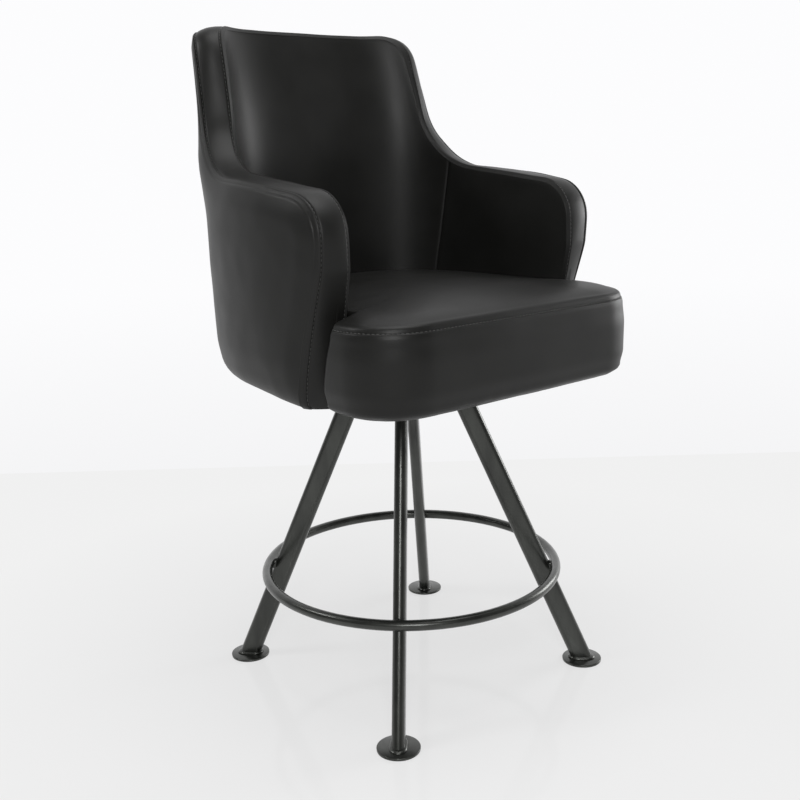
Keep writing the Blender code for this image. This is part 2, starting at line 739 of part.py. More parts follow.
def make_edge_band():
    """Strip between the two seams, up the arms' fronts, along their tops and over the back."""
    path = at_wall_stations(tub_edge())
    outward = [-normal for normal in right_hand_normals(path, after_last=Vector((2 * TUB_LENGTH, BACK_TOP_HEIGHT)))]
    outward[-1] = Vector((0.0, 1.0))

    def band_point(side, spot, depth):
        """A point of the band. Ahead of the arm's front it lies straight in front of the wall's end."""
        point = tub_point(side * (TUB_LENGTH - max(0.0, spot.x)), depth, spot.y)
        point.y += min(0.0, spot.x)
        return point

    def section(side, point, normal):
        """One loop over the band's crown and back along its underside."""
        width = seam_depth(point.x, point.y)
        loop = []
        for share in BAND_ACROSS_SHARES:
            border = 1.0 if share in (0.0, 1.0) else 0.0
            rise = BAND_CROWN * (1 - (2 * share - 1) ** 2) - PAD_DIP / 2 * border
            loop.append(band_point(side, point + normal * rise, share * width))
        underside = point - normal * BAND_THICKNESS
        return loop + [band_point(side, underside, width), band_point(side, underside, 0.0)]

    half = []
    for point, normal in zip(path, outward):
        half.append(lambda side, point=point, normal=normal: section(side, point, normal))
    return loft("edge_band", both_halves(half))


# Seat cushion


def seat_loop(growth, fit_growth, front_height, rear_height, draw=0.0):
    """One loop of the cushion: its seam outline in plan, moved out by one amount on the free wings and front
    and by another between the arms, at a height that rises to the rear, and drawn to the crown by a share.
    """
    side = SEAT_HALF_WIDTH + growth
    front = SEAT_FRONT_Y - growth
    rear = SEAT_WING_REAR_Y + growth
    stem = TUB_HALF_WIDTH - SEAT_FIT + fit_growth
    rear_radius = max(SEAT_LEAST_RADIUS, SEAT_WING_CORNER_RADIUS + growth)
    front_radius = min(SEAT_FRONT_CORNER_RADIUS + growth, rear - front - rear_radius - SEAT_LEAST_RADIUS)
    half = rounded_path([(0.0, front)] + [(side * share, front) for share in FRONT_EDGE_SHARES] + [
        (side, front, front_radius, SEAT_FRONT_CORNER_STEPS),
        (side, rear, rear_radius, 2),
        (stem, rear, SEAT_STEP_RADIUS, 2),
        (stem, rear + 2 * SEAT_STEP_RADIUS),
    ])
    for point in half:
        point.y += SEAT_FRONT_BOW * (point.x / side) ** 2 * (rear - point.y) / (rear - front)
    rear_shares = [smooth_share((side - point.x) / (side - stem)) * (point.y > (front + rear) / 2) for point in half]
    for station in WALL_STATIONS:
        if station > SEAT_WING_CORNER_RADIUS + SEAT_STEP_RADIUS:
            half.append(tub_point(TUB_LENGTH - station, fit_growth - SEAT_FIT, BACK_TOP_HEIGHT).to_2d())
            rear_shares.append(1.0)
    loop = []
    for point, share in zip(half, rear_shares):
        spot = point.lerp(crown_point(point), draw)
        loop.append(spot.to_3d() + Vector((0.0, 0.0, front_height + (rear_height - front_height) * share)))
    return loop + [Vector((-spot.x, spot.y, spot.z)) for spot in loop[-2:0:-1]]


def crown_point(point):
    """Where a point of the seam's outline comes to at the crown's shoulder."""
    if point.y < SEAT_WING_REAR_Y:
        share = (point.y - SEAT_FRONT_Y) / (SEAT_WING_REAR_Y - SEAT_FRONT_Y)
        pull = CROWN_FRONT_SHARE + (CROWN_WAIST_SHARE - CROWN_FRONT_SHARE) * share
    else:
        share = (point.y - SEAT_WING_REAR_Y) / (TUB_BACK_Y - SEAT_WING_REAR_Y)
        pull = CROWN_WAIST_SHARE + (CROWN_REAR_SHARE - CROWN_WAIST_SHARE) * share
    return Vector((point.x * CROWN_WIDTH_SHARE, point.y + pull * (TUB_BACK_Y - SEAT_FRONT_Y)))


def seat_surface(inset):
    """Loops of the cushion from its lower edge to its crown, and the crown's middle, inside by an inset."""
    low = SEAT_BOTTOM + inset
    front_face = SEAT_SEAM_HEIGHT - SEAT_SEAM_HALF_WIDTH - low
    rear_face = SEAT_REAR_SEAM_HEIGHT - SEAT_SEAM_HALF_WIDTH - low
    loops = []
    for height_share, bulge_share in zip(FACE_HEIGHT_SHARES, FACE_BULGE_SHARES):
        growth = bulge_share * (SEAT_BULGE if bulge_share > 0 else SEAT_LOWER_INSET)
        heights = (low + front_face * height_share, low + rear_face * height_share)
        loops.append(seat_loop(growth - inset, -inset, *heights))
    for side, dip in ((-1, 0.0), (0, SEAT_SEAM_DIP), (1, 0.0)):
        lift = side * SEAT_SEAM_HALF_WIDTH - inset
        heights = (SEAT_SEAM_HEIGHT + lift, SEAT_REAR_SEAM_HEIGHT + lift)
        loops.append(seat_loop(-dip - inset, -inset, *heights))
    for share in CROWN_SHARES:
        rise = math.sqrt(1 - (1 - share) ** 2)
        heights = []
        for seam in (SEAT_SEAM_HEIGHT, SEAT_REAR_SEAM_HEIGHT):
            base = seam + SEAT_SEAM_HALF_WIDTH
            heights.append(base + (SEAT_SHOULDER_HEIGHT - base) * rise - inset)
        loops.append(seat_loop(-inset, -inset, *heights, share))
    pole = Vector((0.0, SEAT_CROWN_CENTRE_Y, SEAT_TOP_HEIGHT - inset))
    loops.append([cap_point(point, pole) for point in loops[-1]])
    return loops, pole


def cap_point(point, pole):
    """A point between the crown's shoulder and its middle."""
    spot = pole.lerp(point, CROWN_CAP_SHARE)
    spot.z = point.z + (pole.z - point.z) * CROWN_CAP_RISE_SHARE
    return spot


def make_seat_cover():
    """Sewn cover of the cushion: a thin shell, open below inside the lip that turns under the board."""
    outside, outside_pole = seat_surface(0.0)
    inside, inside_pole = seat_surface(SEAT_COVER_THICKNESS)
    lip_top = BOARD_BOTTOM - TOUCH_GAP
    wall = -SEAT_LOWER_INSET - SEAT_COVER_THICKNESS
    lip = -SEAT_LOWER_INSET - SEAT_COVER_LIP
    turn_in = [
        seat_loop(wall, -SEAT_COVER_THICKNESS, lip_top, lip_top),
        seat_loop(lip, -SEAT_COVER_LIP, lip_top, lip_top),
        seat_loop(lip, -SEAT_COVER_LIP, SEAT_BOTTOM, SEAT_BOTTOM),
    ]
    inner = [inside[row] for row in reversed(INNER_ROWS)]
    return loft("seat_cover", inner + turn_in + outside, first_pole=inside_pole, last_pole=outside_pole)


def make_seat_foam():
    """Foam block on the board, inside the cover."""
    inset = SEAT_COVER_THICKNESS + FOAM_FIT
    loops, pole = seat_surface(inset)
    base = BOARD_TOP + TOUCH_GAP
    foot = seat_loop(-SEAT_LOWER_INSET / 2, -inset, base, base)
    return loft("seat_foam", [foot] + [loops[row] for row in INNER_ROWS[1:]], last_pole=pole)


def board_outline():
    """The seat board's outline in plan."""
    growth = -SEAT_LOWER_INSET - SEAT_COVER_THICKNESS - TOUCH_GAP
    return [point.to_2d() for point in seat_loop(growth, -SEAT_COVER_THICKNESS - 2 * TOUCH_GAP, 0.0, 0.0)]


def make_seat_board(cutters, board_screw_frames):
    """Plywood board with an eye over the rivet, holes for the T-nuts and pilot holes for the screws."""
    board = flat_plate("seat_board", [board_outline()], BOARD_BOTTOM, SEAT_BOARD_THICKNESS)
    low, high = BOARD_BOTTOM - CUT_OVERRUN, BOARD_TOP + CUT_OVERRUN
    tools = [cylinder("eye", PLATE_EYE_RADIUS, low, high, 2 * BOLT_STEPS)]
    sink = T_NUT_TOP - T_NUT_FLANGE_THICKNESS - TOUCH_GAP
    for frame in seat_bolt_frames("hole").values():
        barrel_radius = T_NUT_BARREL_RADIUS + TOUCH_GAP
        flange_radius = T_NUT_FLANGE_RADIUS + TOUCH_GAP
        tools.append(cylinder("barrel_hole", barrel_radius, low, high, BOLT_STEPS, frame))
        tools.append(cylinder("flange_sink", flange_radius, sink, high, BOLT_STEPS, frame))
    pilot = (SCREW_RADIUS + TOUCH_GAP, -CUT_OVERRUN, BOARD_SCREW_LENGTH + TOUCH_GAP)
    tools += [cylinder("pilot_hole", *pilot, SCREW_STEPS, frame) for frame in board_screw_frames.values()]
    return combine(board, tools, "DIFFERENCE", cutters)


def make_dust_cover(board_screw_frames):
    """Thin cloth under the board, with a window for the upper plate and holes for the screws."""
    inset = -SEAT_COVER_LIP - TOUCH_GAP
    outline = [point.to_2d() for point in seat_loop(inset - SEAT_LOWER_INSET, inset, 0.0, 0.0)]
    half = UPPER_PLATE_SIDE / 2 + DUST_COVER_WINDOW_MARGIN
    window = [(half, half), (-half, half), (-half, -half), (half, -half)]
    holes = []
    for frame in board_screw_frames.values():
        holes.append(circle_points(frame.translation.x, frame.translation.y, SCREW_RADIUS + TOUCH_GAP, SCREW_STEPS))
    return flat_plate("dust_cover", [outline, window] + holes, SEAT_BOTTOM, SEAT_COVER_LIP_THICKNESS)


# Brackets and screws


def bracket_frames():
    """Matrices that carry a bracket, made facing +X with its upright leg's face at the origin."""
    fit = FRAME_DEPTH - TOUCH_GAP
    half_turn = Matrix.Rotation(math.pi, 4, "Z")
    quarter_turn = Matrix.Rotation(math.pi / 2, 4, "Z")
    reach = TUB_HALF_WIDTH + fit
    back = tub_point(BACK_BRACKET_X + BRACKET_WIDTH / 2, fit - 2 * FACET_SAG, BACK_TOP_HEIGHT).y
    return {
        "bracket_arm_right": Matrix.Translation((-reach, ARM_BRACKET_Y, BRACKET_BOTTOM)) @ half_turn,
        "bracket_arm_left": Matrix.Translation((reach, ARM_BRACKET_Y, BRACKET_BOTTOM)),
        "bracket_back_right": Matrix.Translation((-BACK_BRACKET_X, back, BRACKET_BOTTOM)) @ quarter_turn,
        "bracket_back_left": Matrix.Translation((BACK_BRACKET_X, back, BRACKET_BOTTOM)) @ quarter_turn,
    }


def screw_frames(brackets, piece, offset):
    """Matrices of the screws, one for each bracket, named after it. The screw's head seats at the origin."""
    return {name.replace("bracket", piece): frame @ offset for name, frame in brackets.items()}


def board_screw_offset():
    """Where the board screw goes up through a bracket's level leg."""
    return Matrix.Translation((BRACKET_SCREW_INSET - BRACKET_REACH, 0.0, -TOUCH_GAP))


def frame_screw_offset():
    """Where the frame screw goes out through a bracket's upright leg."""
    shift = Matrix.Translation((-BRACKET_THICKNESS - TOUCH_GAP, 0.0, FRAME_SCREW_HEIGHT))
    return shift @ Matrix.Rotation(math.pi / 2, 4, "Y")


def make_bracket(cutters):
    """Bent steel angle: an L outline extruded sideways, with a screw hole in each leg."""
    thickness = BRACKET_THICKNESS
    outline = rounded_path([
        (-BRACKET_REACH, 0.0),
        (0.0, 0.0, BRACKET_BEND_RADIUS, BRACKET_BEND_STEPS),
        (0.0, BRACKET_HEIGHT),
        (-thickness, BRACKET_HEIGHT),
        (-thickness, thickness, BRACKET_BEND_RADIUS - thickness, BRACKET_BEND_STEPS),
        (-BRACKET_REACH, thickness),
    ])
    bracket = flat_plate("bracket", [outline], -BRACKET_WIDTH / 2, BRACKET_WIDTH)
    bracket.data.transform(Matrix.Rotation(math.pi / 2, 4, "X"))
    span = (SCREW_RADIUS + BOLT_CLEARANCE, -CUT_OVERRUN, thickness + CUT_OVERRUN)
    offsets = (board_screw_offset(), frame_screw_offset())
    tools = [cylinder("screw_hole", *span, SCREW_STEPS, offset) for offset in offsets]
    return combine(bracket, tools, "DIFFERENCE", cutters)


def make_screw(length):
    """Pan-head screw: its shank goes up from the origin and its head hangs below."""
    profile = [(0.0, length), (SCREW_RADIUS, length), (SCREW_RADIUS, 0.0), (SCREW_HEAD_RADIUS, 0.0)]
    profile += [(SCREW_HEAD_RADIUS, -SCREW_HEAD_HEIGHT / 2), (SCREW_HEAD_RADIUS / 2, -SCREW_HEAD_HEIGHT)]
    return turned("screw", profile + [(0.0, -SCREW_HEAD_HEIGHT)], SCREW_STEPS, closed=False)


# Base


def turn_frames(name, degrees_by_place):
    """Rotations about the swivel's axis, one for each named place."""
    frames = {}
    for place_name, degrees in degrees_by_place.items():
        frames[f"{name}_{place_name}"] = Matrix.Rotation(math.radians(degrees), 4, "Z")
    return frames


def leg_radius(height):
    """Distance of a leg's axis from the swivel's axis at a height."""
    return FOOT_CIRCLE_RADIUS - LEG_SLOPE * (height - LEG_BOTTOM)


def leg_loop(growth, height):
    """Level section of a leg that stands along +X, grown on all sides."""
    nose = LEG_NARROW / 2 + growth
    flat = (LEG_BROAD - LEG_NARROW) / 2
    loop = []
    for end, start in ((1, -math.pi / 2), (-1, math.pi / 2)):
        for step in range(LEG_NOSE_STEPS + 1):
            turn = start + math.pi * step / LEG_NOSE_STEPS
            across = (end * flat + nose * math.cos(turn)) / math.cos(LEG_TILT)
            loop.append(Vector((leg_radius(height) + across, nose * math.sin(turn), height)))
    return loop


def make_leg():
    """Open oval tube between its foot disc and the base plate, both ends cut level."""
    outer = [leg_loop(0.0, LEG_BOTTOM), leg_loop(0.0, LEG_TOP)]
    inner = [leg_loop(-LEG_WALL, LEG_TOP), leg_loop(-LEG_WALL, LEG_BOTTOM)]
    return loft("leg", outer + inner, closed=True)


def make_foot_weld():
    """Bead of weld round a leg's foot, on the disc."""
    base = FOOT_DISC_THICKNESS + TOUCH_GAP
    bulge = FOOT_WELD_SIZE * WELD_BULGE_SHARE
    loops = [
        leg_loop(TOUCH_GAP, base),
        leg_loop(TOUCH_GAP + FOOT_WELD_SIZE, base),
        leg_loop(TOUCH_GAP + bulge, base + bulge),
        leg_loop(TOUCH_GAP, base + FOOT_WELD_SIZE),
    ]
    return loft("foot_weld", loops, closed=True)


def make_foot_disc():
    """Flat round foot at the end of a leg, its edges eased."""
    disc = cylinder("foot_disc", FOOT_DISC_RADIUS, 0.0, FOOT_DISC_THICKNESS, FOOT_DISC_STEPS)
    disc.data.transform(Matrix.Translation((FOOT_CIRCLE_RADIUS, 0.0, 0.0)))
    bevel = disc.modifiers.new("Bevel", "BEVEL")
    bevel.width = FOOT_DISC_EDGE
    bevel.segments = 1
    bevel.limit_method = "ANGLE"
    return made_solid(disc, "foot_disc")


def ring_radius():
    """Radius of the footrest ring, so that its bar lies against the legs' outer noses."""
    return leg_radius(RING_HEIGHT) + (LEG_BROAD / 2 + RING_BAR_RADIUS + TOUCH_GAP) / math.cos(LEG_TILT)


def make_ring_weld(cutters):
    """Weld in the corners between the footrest ring and a leg's nose."""
    form = bmesh.new()
    bmesh.ops.create_uvsphere(form, u_segments=10, v_segments=6, radius=1.0)
    bmesh.ops.scale(form, verts=form.verts, vec=(RING_WELD_HALF_WIDTH, RING_WELD_HALF_WIDTH, RING_WELD_RADIUS))
    touch = Vector((math.cos(LEG_TILT), 0.0, math.sin(LEG_TILT))) * RING_BAR_RADIUS
    middle = Vector((ring_radius(), 0.0, RING_HEIGHT)) - touch
    lean = Matrix.Rotation(-LEG_TILT, 4, "Y")
    bmesh.ops.transform(form, verts=form.verts, matrix=Matrix.Translation(middle) @ lean)
    weld = object_from_bmesh("ring_weld", form)
    reach = RING_WELD_RADIUS + CUT_OVERRUN
    leg = loft("leg_cutter", [leg_loop(TOUCH_GAP, RING_HEIGHT - reach), leg_loop(TOUCH_GAP, RING_HEIGHT + reach)])
    ring = torus("ring_cutter", ring_radius(), RING_BAR_RADIUS + TOUCH_GAP, RING_HEIGHT, RING_STEPS, RING_BAR_STEPS)
    return combine(weld, [leg, ring], "DIFFERENCE", cutters)


# Swivel


def square_outline(side):
    """Outline of a square plate with round corners, centred on the swivel's axis."""
    half = side / 2
    corners = [(half, half), (-half, half), (-half, -half), (half, -half)]
    rounded = [(x, y, PLATE_CORNER_RADIUS, PLATE_CORNER_STEPS) for x, y in corners]
    return rounded_path([(half, 0.0)] + rounded + [(half, 0.0)])[:-1]


def base_bolt_frames(name):
    """Places of the base bolts and of their nuts."""
    shift = Matrix.Translation((BASE_BOLT_CIRCLE_RADIUS, 0.0, 0.0))
    return {key: frame @ shift for key, frame in turn_frames(name, BASE_BOLT_DEGREES).items()}


def seat_bolt_frames(name):
    """Places of the seat bolts and of their T-nuts."""
    shift = Matrix.Translation((math.hypot(SEAT_BOLT_OFFSET, SEAT_BOLT_OFFSET), 0.0, 0.0))
    return {key: frame @ shift for key, frame in turn_frames(name, LEG_DEGREES).items()}


def hole_outlines(frames, radius):
    """Round holes for bolts in plan."""
    return [circle_points(*frame.translation.to_2d(), radius, BOLT_STEPS) for frame in frames.values()]


def make_base_plate():
    """Plate that the legs are welded to, with an eye for the rivet's lower flange."""
    holes = hole_outlines(base_bolt_frames("hole"), BOLT_RADIUS + BOLT_CLEARANCE)
    eye = circle_points(0.0, 0.0, PLATE_EYE_RADIUS, 2 * BOLT_STEPS)
    return flat_plate("base_plate", [square_outline(BASE_PLATE_SIDE), eye] + holes, BASE_PLATE_BOTTOM,
                      BASE_PLATE_THICKNESS)


def make_swivel_plate(name, side, bottom, eye_radius, bolts, cutters):
    """One plate of the swivel, with the balls' groove in its inner face."""
    eye = circle_points(0.0, 0.0, eye_radius, RIVET_STEPS)
    holes = hole_outlines(bolts, BOLT_RADIUS + BOLT_CLEARANCE)
    plate = flat_plate(name, [square_outline(side), eye] + holes, bottom, SWIVEL_PLATE_THICKNESS)
    groove = torus("groove", RACE_RADIUS, BALL_RADIUS + TOUCH_GAP, BALL_HEIGHT, RACE_STEPS, RING_BAR_STEPS)
    return combine(plate, [groove], "DIFFERENCE", cutters)


def make_ball_cage(cutters):
    """The bearing's balls with the ring that holds them apart."""
    outer = circle_points(0.0, 0.0, RACE_RADIUS + CAGE_HALF_WIDTH, RACE_STEPS)
    inner = circle_points(0.0, 0.0, RACE_RADIUS - CAGE_HALF_WIDTH, RACE_STEPS)
    cage = flat_plate("ball_cage", [outer, inner], BALL_HEIGHT - CAGE_THICKNESS / 2, CAGE_THICKNESS)
    form = bmesh.new()
    for x, y in circle_points(0.0, 0.0, RACE_RADIUS, BALL_COUNT):
        spot = Matrix.Translation((x, y, BALL_HEIGHT))
        bmesh.ops.create_uvsphere(form, u_segments=8, v_segments=4, radius=BALL_RADIUS, matrix=spot)
    return combine(cage, [object_from_bmesh("balls", form)], "UNION", cutters)


def make_rivet():
    """Hollow rivet that holds the two plates together and is the swivel's pivot."""
    top = UPPER_PLATE_TOP + TOUCH_GAP
    bottom = LOWER_PLATE_BOTTOM - TOUCH_GAP
    profile = [
        (RIVET_BORE_RADIUS, top + RIVET_FLANGE_THICKNESS),
        (RIVET_FLANGE_RADIUS, top + RIVET_FLANGE_THICKNESS),
        (RIVET_FLANGE_RADIUS, top),
        (RIVET_RADIUS, top),
        (RIVET_RADIUS, bottom),
        (RIVET_FLANGE_RADIUS, bottom),
        (RIVET_FLANGE_RADIUS, bottom - RIVET_FLANGE_THICKNESS),
        (RIVET_BORE_RADIUS, bottom - RIVET_FLANGE_THICKNESS),
    ]
    return turned("swivel_rivet", profile, RIVET_STEPS)


def nut_top():
    """Height of the base nuts' upper faces."""
    return BASE_PLATE_BOTTOM - TOUCH_GAP


def make_base_bolt():
    """Bolt with a low head on the lower plate, down through the base plate and its nut."""
    seat = LOWER_PLATE_TOP + TOUCH_GAP
    tail = nut_top() - NUT_HEIGHT - BASE_BOLT_TAIL
    profile = [(0.0, seat + BASE_BOLT_HEAD_HEIGHT), (BASE_BOLT_HEAD_RADIUS / 2, seat + BASE_BOLT_HEAD_HEIGHT)]
    profile += [(BASE_BOLT_HEAD_RADIUS, seat + BASE_BOLT_HEAD_HEIGHT / 2), (BASE_BOLT_HEAD_RADIUS, seat)]
    profile += [(BOLT_RADIUS, seat), (BOLT_RADIUS, tail), (0.0, tail)]
    return turned("base_bolt", profile, BOLT_STEPS, closed=False)


def make_base_nut():
    """Hex nut under the base plate."""
    outlines = [circle_points(0.0, 0.0, HEX_RADIUS, 6)]
    outlines.append(circle_points(0.0, 0.0, BOLT_RADIUS + BOLT_CLEARANCE, BOLT_STEPS))
    return flat_plate("base_nut", outlines, nut_top() - NUT_HEIGHT, NUT_HEIGHT)


def make_seat_bolt(cutters):
    """Hex bolt up through the upper plate into the seat board's T-nut."""
    seat = UPPER_PLATE_BOTTOM - TOUCH_GAP
    head = cylinder("seat_bolt", HEX_RADIUS, seat - SEAT_BOLT_HEAD_HEIGHT, seat, 6)
    shank_foot = seat - SEAT_BOLT_HEAD_HEIGHT / 2
    shank = cylinder("shank", BOLT_RADIUS, shank_foot, T_NUT_TOP - SEAT_BOLT_SETBACK, BOLT_STEPS)
    return combine(head, [shank], "UNION", cutters)


def make_t_nut():
    """Flanged nut let into the top of the seat board."""
    bore = BOLT_RADIUS + BOLT_CLEARANCE
    flange_bottom = T_NUT_TOP - T_NUT_FLANGE_THICKNESS
    profile = [
        (bore, T_NUT_TOP),
        (T_NUT_FLANGE_RADIUS, T_NUT_TOP),
        (T_NUT_FLANGE_RADIUS, flange_bottom),
        (T_NUT_BARREL_RADIUS, flange_bottom),
        (T_NUT_BARREL_RADIUS, T_NUT_TOP - T_NUT_LENGTH),
        (bore, T_NUT_TOP - T_NUT_LENGTH),
    ]
    return turned("t_nut", profile, BOLT_STEPS)


# The whole stool


def build_base(group, cutters, steel, zinc):
    """Everything that stands still."""
    place_copies(make_leg(), turn_frames("leg", LEG_DEGREES), group, steel, 30)
    place_copies(make_foot_disc(), turn_frames("foot_disc", LEG_DEGREES), group, steel, 30)
    place_copies(make_foot_weld(), turn_frames("foot_weld", LEG_DEGREES), group, steel, 60)
    place_copies(make_ring_weld(cutters), turn_frames("ring_weld", LEG_DEGREES), group, steel, 60)
    ring = torus("footrest_ring", ring_radius(), RING_BAR_RADIUS, RING_HEIGHT, RING_STEPS, RING_BAR_STEPS)
    place(ring, group, steel, 60)
    place(make_base_plate(), group, steel, 30)
    lower_plate = make_swivel_plate("swivel_lower_plate", LOWER_PLATE_SIDE, LOWER_PLATE_BOTTOM,
                                    RIVET_RADIUS + TOUCH_GAP, base_bolt_frames("hole"), cutters)
    place(lower_plate, group, zinc, 30)
    place_copies(make_base_bolt(), base_bolt_frames("base_bolt"), group, zinc, 30)
    place_copies(make_base_nut(), base_bolt_frames("base_nut"), group, zinc, 30)
    place(make_rivet(), group, zinc, 30)


def build_seat(group, cutters, holder, materials):
    """Everything that turns with the seat."""
    steel, zinc, vinyl, plywood, foam, cloth = materials
    upper_plate = make_swivel_plate("swivel_upper_plate", UPPER_PLATE_SIDE, UPPER_PLATE_BOTTOM,
                                    RIVET_RADIUS + RIVET_CLEARANCE, seat_bolt_frames("hole"), cutters)
    place(upper_plate, group, zinc, 30, holder)
    place_copies(make_seat_bolt(cutters), seat_bolt_frames("seat_bolt"), group, zinc, 30, holder)
    place_copies(make_t_nut(), seat_bolt_frames("t_nut"), group, zinc, 30, holder)

    brackets = bracket_frames()
    board_screws = screw_frames(brackets, "board_screw", board_screw_offset())
    frame_screws = screw_frames(brackets, "frame_screw", frame_screw_offset())
    place_copies(make_bracket(cutters), brackets, group, steel, 30, holder)
    place_copies(make_screw(BOARD_SCREW_LENGTH), board_screws, group, zinc, 30, holder)
    place_copies(make_screw(FRAME_SCREW_LENGTH), frame_screws, group, zinc, 30, holder)

    place(make_seat_board(cutters, board_screws), group, plywood, 30, holder)
    place(make_seat_foam(), group, foam, 50, holder)
    place(make_seat_cover(), group, vinyl, 50, holder)
    place(make_dust_cover(board_screws), group, cloth, 30, holder)

    pilot = (SCREW_RADIUS + TOUCH_GAP, 0.0, FRAME_SCREW_LENGTH + TOUCH_GAP)
    pilots = [cylinder("pilot_hole", *pilot, SCREW_STEPS, frame) for frame in frame_screws.values()]
    place(combine(make_tub_frame(), pilots, "DIFFERENCE", cutters), group, plywood, 40, holder)
    place(make_back_panel(), group, vinyl, 40, holder)
    place(make_arm_panel("arm_panel_right", -1), group, vinyl, 40, holder)
    place(make_arm_panel("arm_panel_left", 1), group, vinyl, 40, holder)
    place(make_edge_band(), group, vinyl, 40, holder)
    place(make_outer_cover(), group, vinyl, 40, holder)


def build_stool():
    """Build the stool in an emptied scene."""
    clear_scene()
    group = new_collection("gaming_stool")
    cutters = new_collection("cutters")
    steel = make_material("dark_painted_steel", (0.052, 0.055, 0.052), 0.34, 0.9)
    zinc = make_material("zinc_plated_steel", (0.55, 0.56, 0.57), 0.35, 1.0)
    vinyl = make_material("black_vinyl", (0.020, 0.020, 0.021), 0.38)
    plywood = make_material("plywood", (0.52, 0.36, 0.20), 0.65)
    foam = make_material("seat_foam", (0.80, 0.74, 0.55), 0.95)
    cloth = make_material("dust_cloth", (0.035, 0.035, 0.035), 0.90)

    turning = bpy.data.objects.new("seat_turns_here", None)
    turning.location.z = BALL_HEIGHT
    group.objects.link(turning)
    bpy.context.view_layer.update()

    build_base(group, cutters, steel, zinc)
    place(make_ball_cage(cutters), group, zinc, 30)
    build_seat(group, cutters, turning, (steel, zinc, vinyl, plywood, foam, cloth))


build_stool()
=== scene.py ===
"""Gaming stool, dressed: sewn black vinyl over foam on a tub that turns on a painted steel base."""

import bisect
import json
import math

import bmesh
import bpy
from mathutils import Matrix, Vector, noise
from mathutils.kdtree import KDTree


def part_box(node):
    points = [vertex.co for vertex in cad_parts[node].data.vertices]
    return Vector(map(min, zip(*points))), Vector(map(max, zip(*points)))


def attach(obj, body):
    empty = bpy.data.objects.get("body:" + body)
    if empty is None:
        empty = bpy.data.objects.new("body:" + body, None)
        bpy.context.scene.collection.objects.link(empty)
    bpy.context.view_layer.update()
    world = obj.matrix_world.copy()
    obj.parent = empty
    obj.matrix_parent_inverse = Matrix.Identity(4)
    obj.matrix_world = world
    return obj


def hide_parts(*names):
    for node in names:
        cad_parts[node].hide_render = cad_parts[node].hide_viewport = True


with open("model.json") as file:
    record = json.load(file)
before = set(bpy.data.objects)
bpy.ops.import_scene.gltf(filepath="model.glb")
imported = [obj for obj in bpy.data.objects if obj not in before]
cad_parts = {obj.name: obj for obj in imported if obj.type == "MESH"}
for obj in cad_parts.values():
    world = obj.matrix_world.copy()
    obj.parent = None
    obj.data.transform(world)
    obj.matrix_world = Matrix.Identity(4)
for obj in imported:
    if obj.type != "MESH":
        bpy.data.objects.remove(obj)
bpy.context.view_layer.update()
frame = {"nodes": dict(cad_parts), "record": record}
nodes = frame["nodes"]

# Tub in plan and in height
TUB_HALF_WIDTH = 0.2110
TUB_FRONT_Y = -0.149
TUB_BEND_Y = -0.020
TUB_BACK_Y = 0.2246
TUB_SQUARENESS = 3.36
TUB_PLAN_STEPS = 600
TUB_BOTTOM = 0.4950

# The tub's plan where the seat board stands in it
LOW_BACK_Y = 0.228
LOW_SQUARENESS = 3.9
LOW_HALF_WIDTH = 0.2105
LOW_PLAN_HEIGHT = 0.505
PLAN_CHANGE_REACH = 0.035

# Thickness of the wall at the arm's front, the arm's middle and the back
WALL_SIZES = (0.052, 0.0605, 0.0460)
CORNER_WALL = 0.0055
CORNER_WALL_LOW = 0.740
CORNER_WALL_RISE = 0.100
CORNER_WALL_WIDTH = 0.060
EDGE_DROPS = (0.0060, 0.0030, 0.0114)
ARM_MIDDLE_STATION = 0.120
BACK_WALL_STATION = 0.345
BACK_THINS_FROM_STATION = 0.375
BACK_THINNING = 0.0070
BACK_THINNING_REACH = 0.300

# The edge's line, from the arm's front to the middle of the back
ARM_FRONT_HEIGHT = 0.7735
ARM_FRONT_RADIUS = 0.060
SHOULDER_STATION = 0.3000
SHOULDER_HEIGHT = 0.8115
SHOULDER_RADIUS = 0.107
BACK_CORNER_STATION = 0.3330
WING_TURN = 0.0060
WING_TURN_START = 0.800
WING_TURN_REACH = 0.050
WING_TURN_END = 0.030
BACK_CORNER_HEIGHT = 1.0212
BACK_CORNER_RADIUS = 0.040
BACK_TOP_HEIGHT = 1.0213

# How the back leans, and how the arms' fronts slant and sag
BACK_LEAN = 0.0236
BACK_LEAN_START = 0.800
ARM_RAKE = 0.032
ARM_RAKE_TOP = 0.680
ARM_RAKE_REACH = 0.150
ARM_SLANT = 0.034
ARM_SLANT_TOP = 0.730
ARM_SLANT_REACH = 0.050
COVER_SLANT_REACH = 0.150
ARM_FRONT_SAG = 0.0065
ARM_FRONT_SAG_TOP = 0.600
ARM_FRONT_SAG_REACH = 0.240

# Layers of the wall, and how full they are
PAD_THICKNESS = 0.0180
PAD_BOTTOM = 0.5400
FRAME_DEPTH = 0.0192
FRAME_BOTTOM = 0.5120
FRAME_THICKNESS = 0.0120
FRAME_FIT = 0.0009
FRAME_BACK_FIT = 0.0021
FRAME_OUTER_FIT = 0.0010
COVER_DEPTH = 0.0315
BAND_THICKNESS = 0.0045
BAND_CROWN = 0.0046
CORNER_CROWN = 0.0055
COVER_FULLNESS = 0.0082
COVER_FULLNESS_REACH = 0.036
COVER_FULLNESS_AT_BACK_SHARE = 0.30
COVER_DRAW_SLOPE = 0.020
COVER_BOTTOM_RADIUS = 0.030
COVER_DRAW_AT_ARM_FRONT = 0.35
COVER_DRAW_REACH = 0.220
PANEL_SEAM_TOP_STATION = 0.262
PANEL_SEAM_BOTTOM_STATION = 0.305

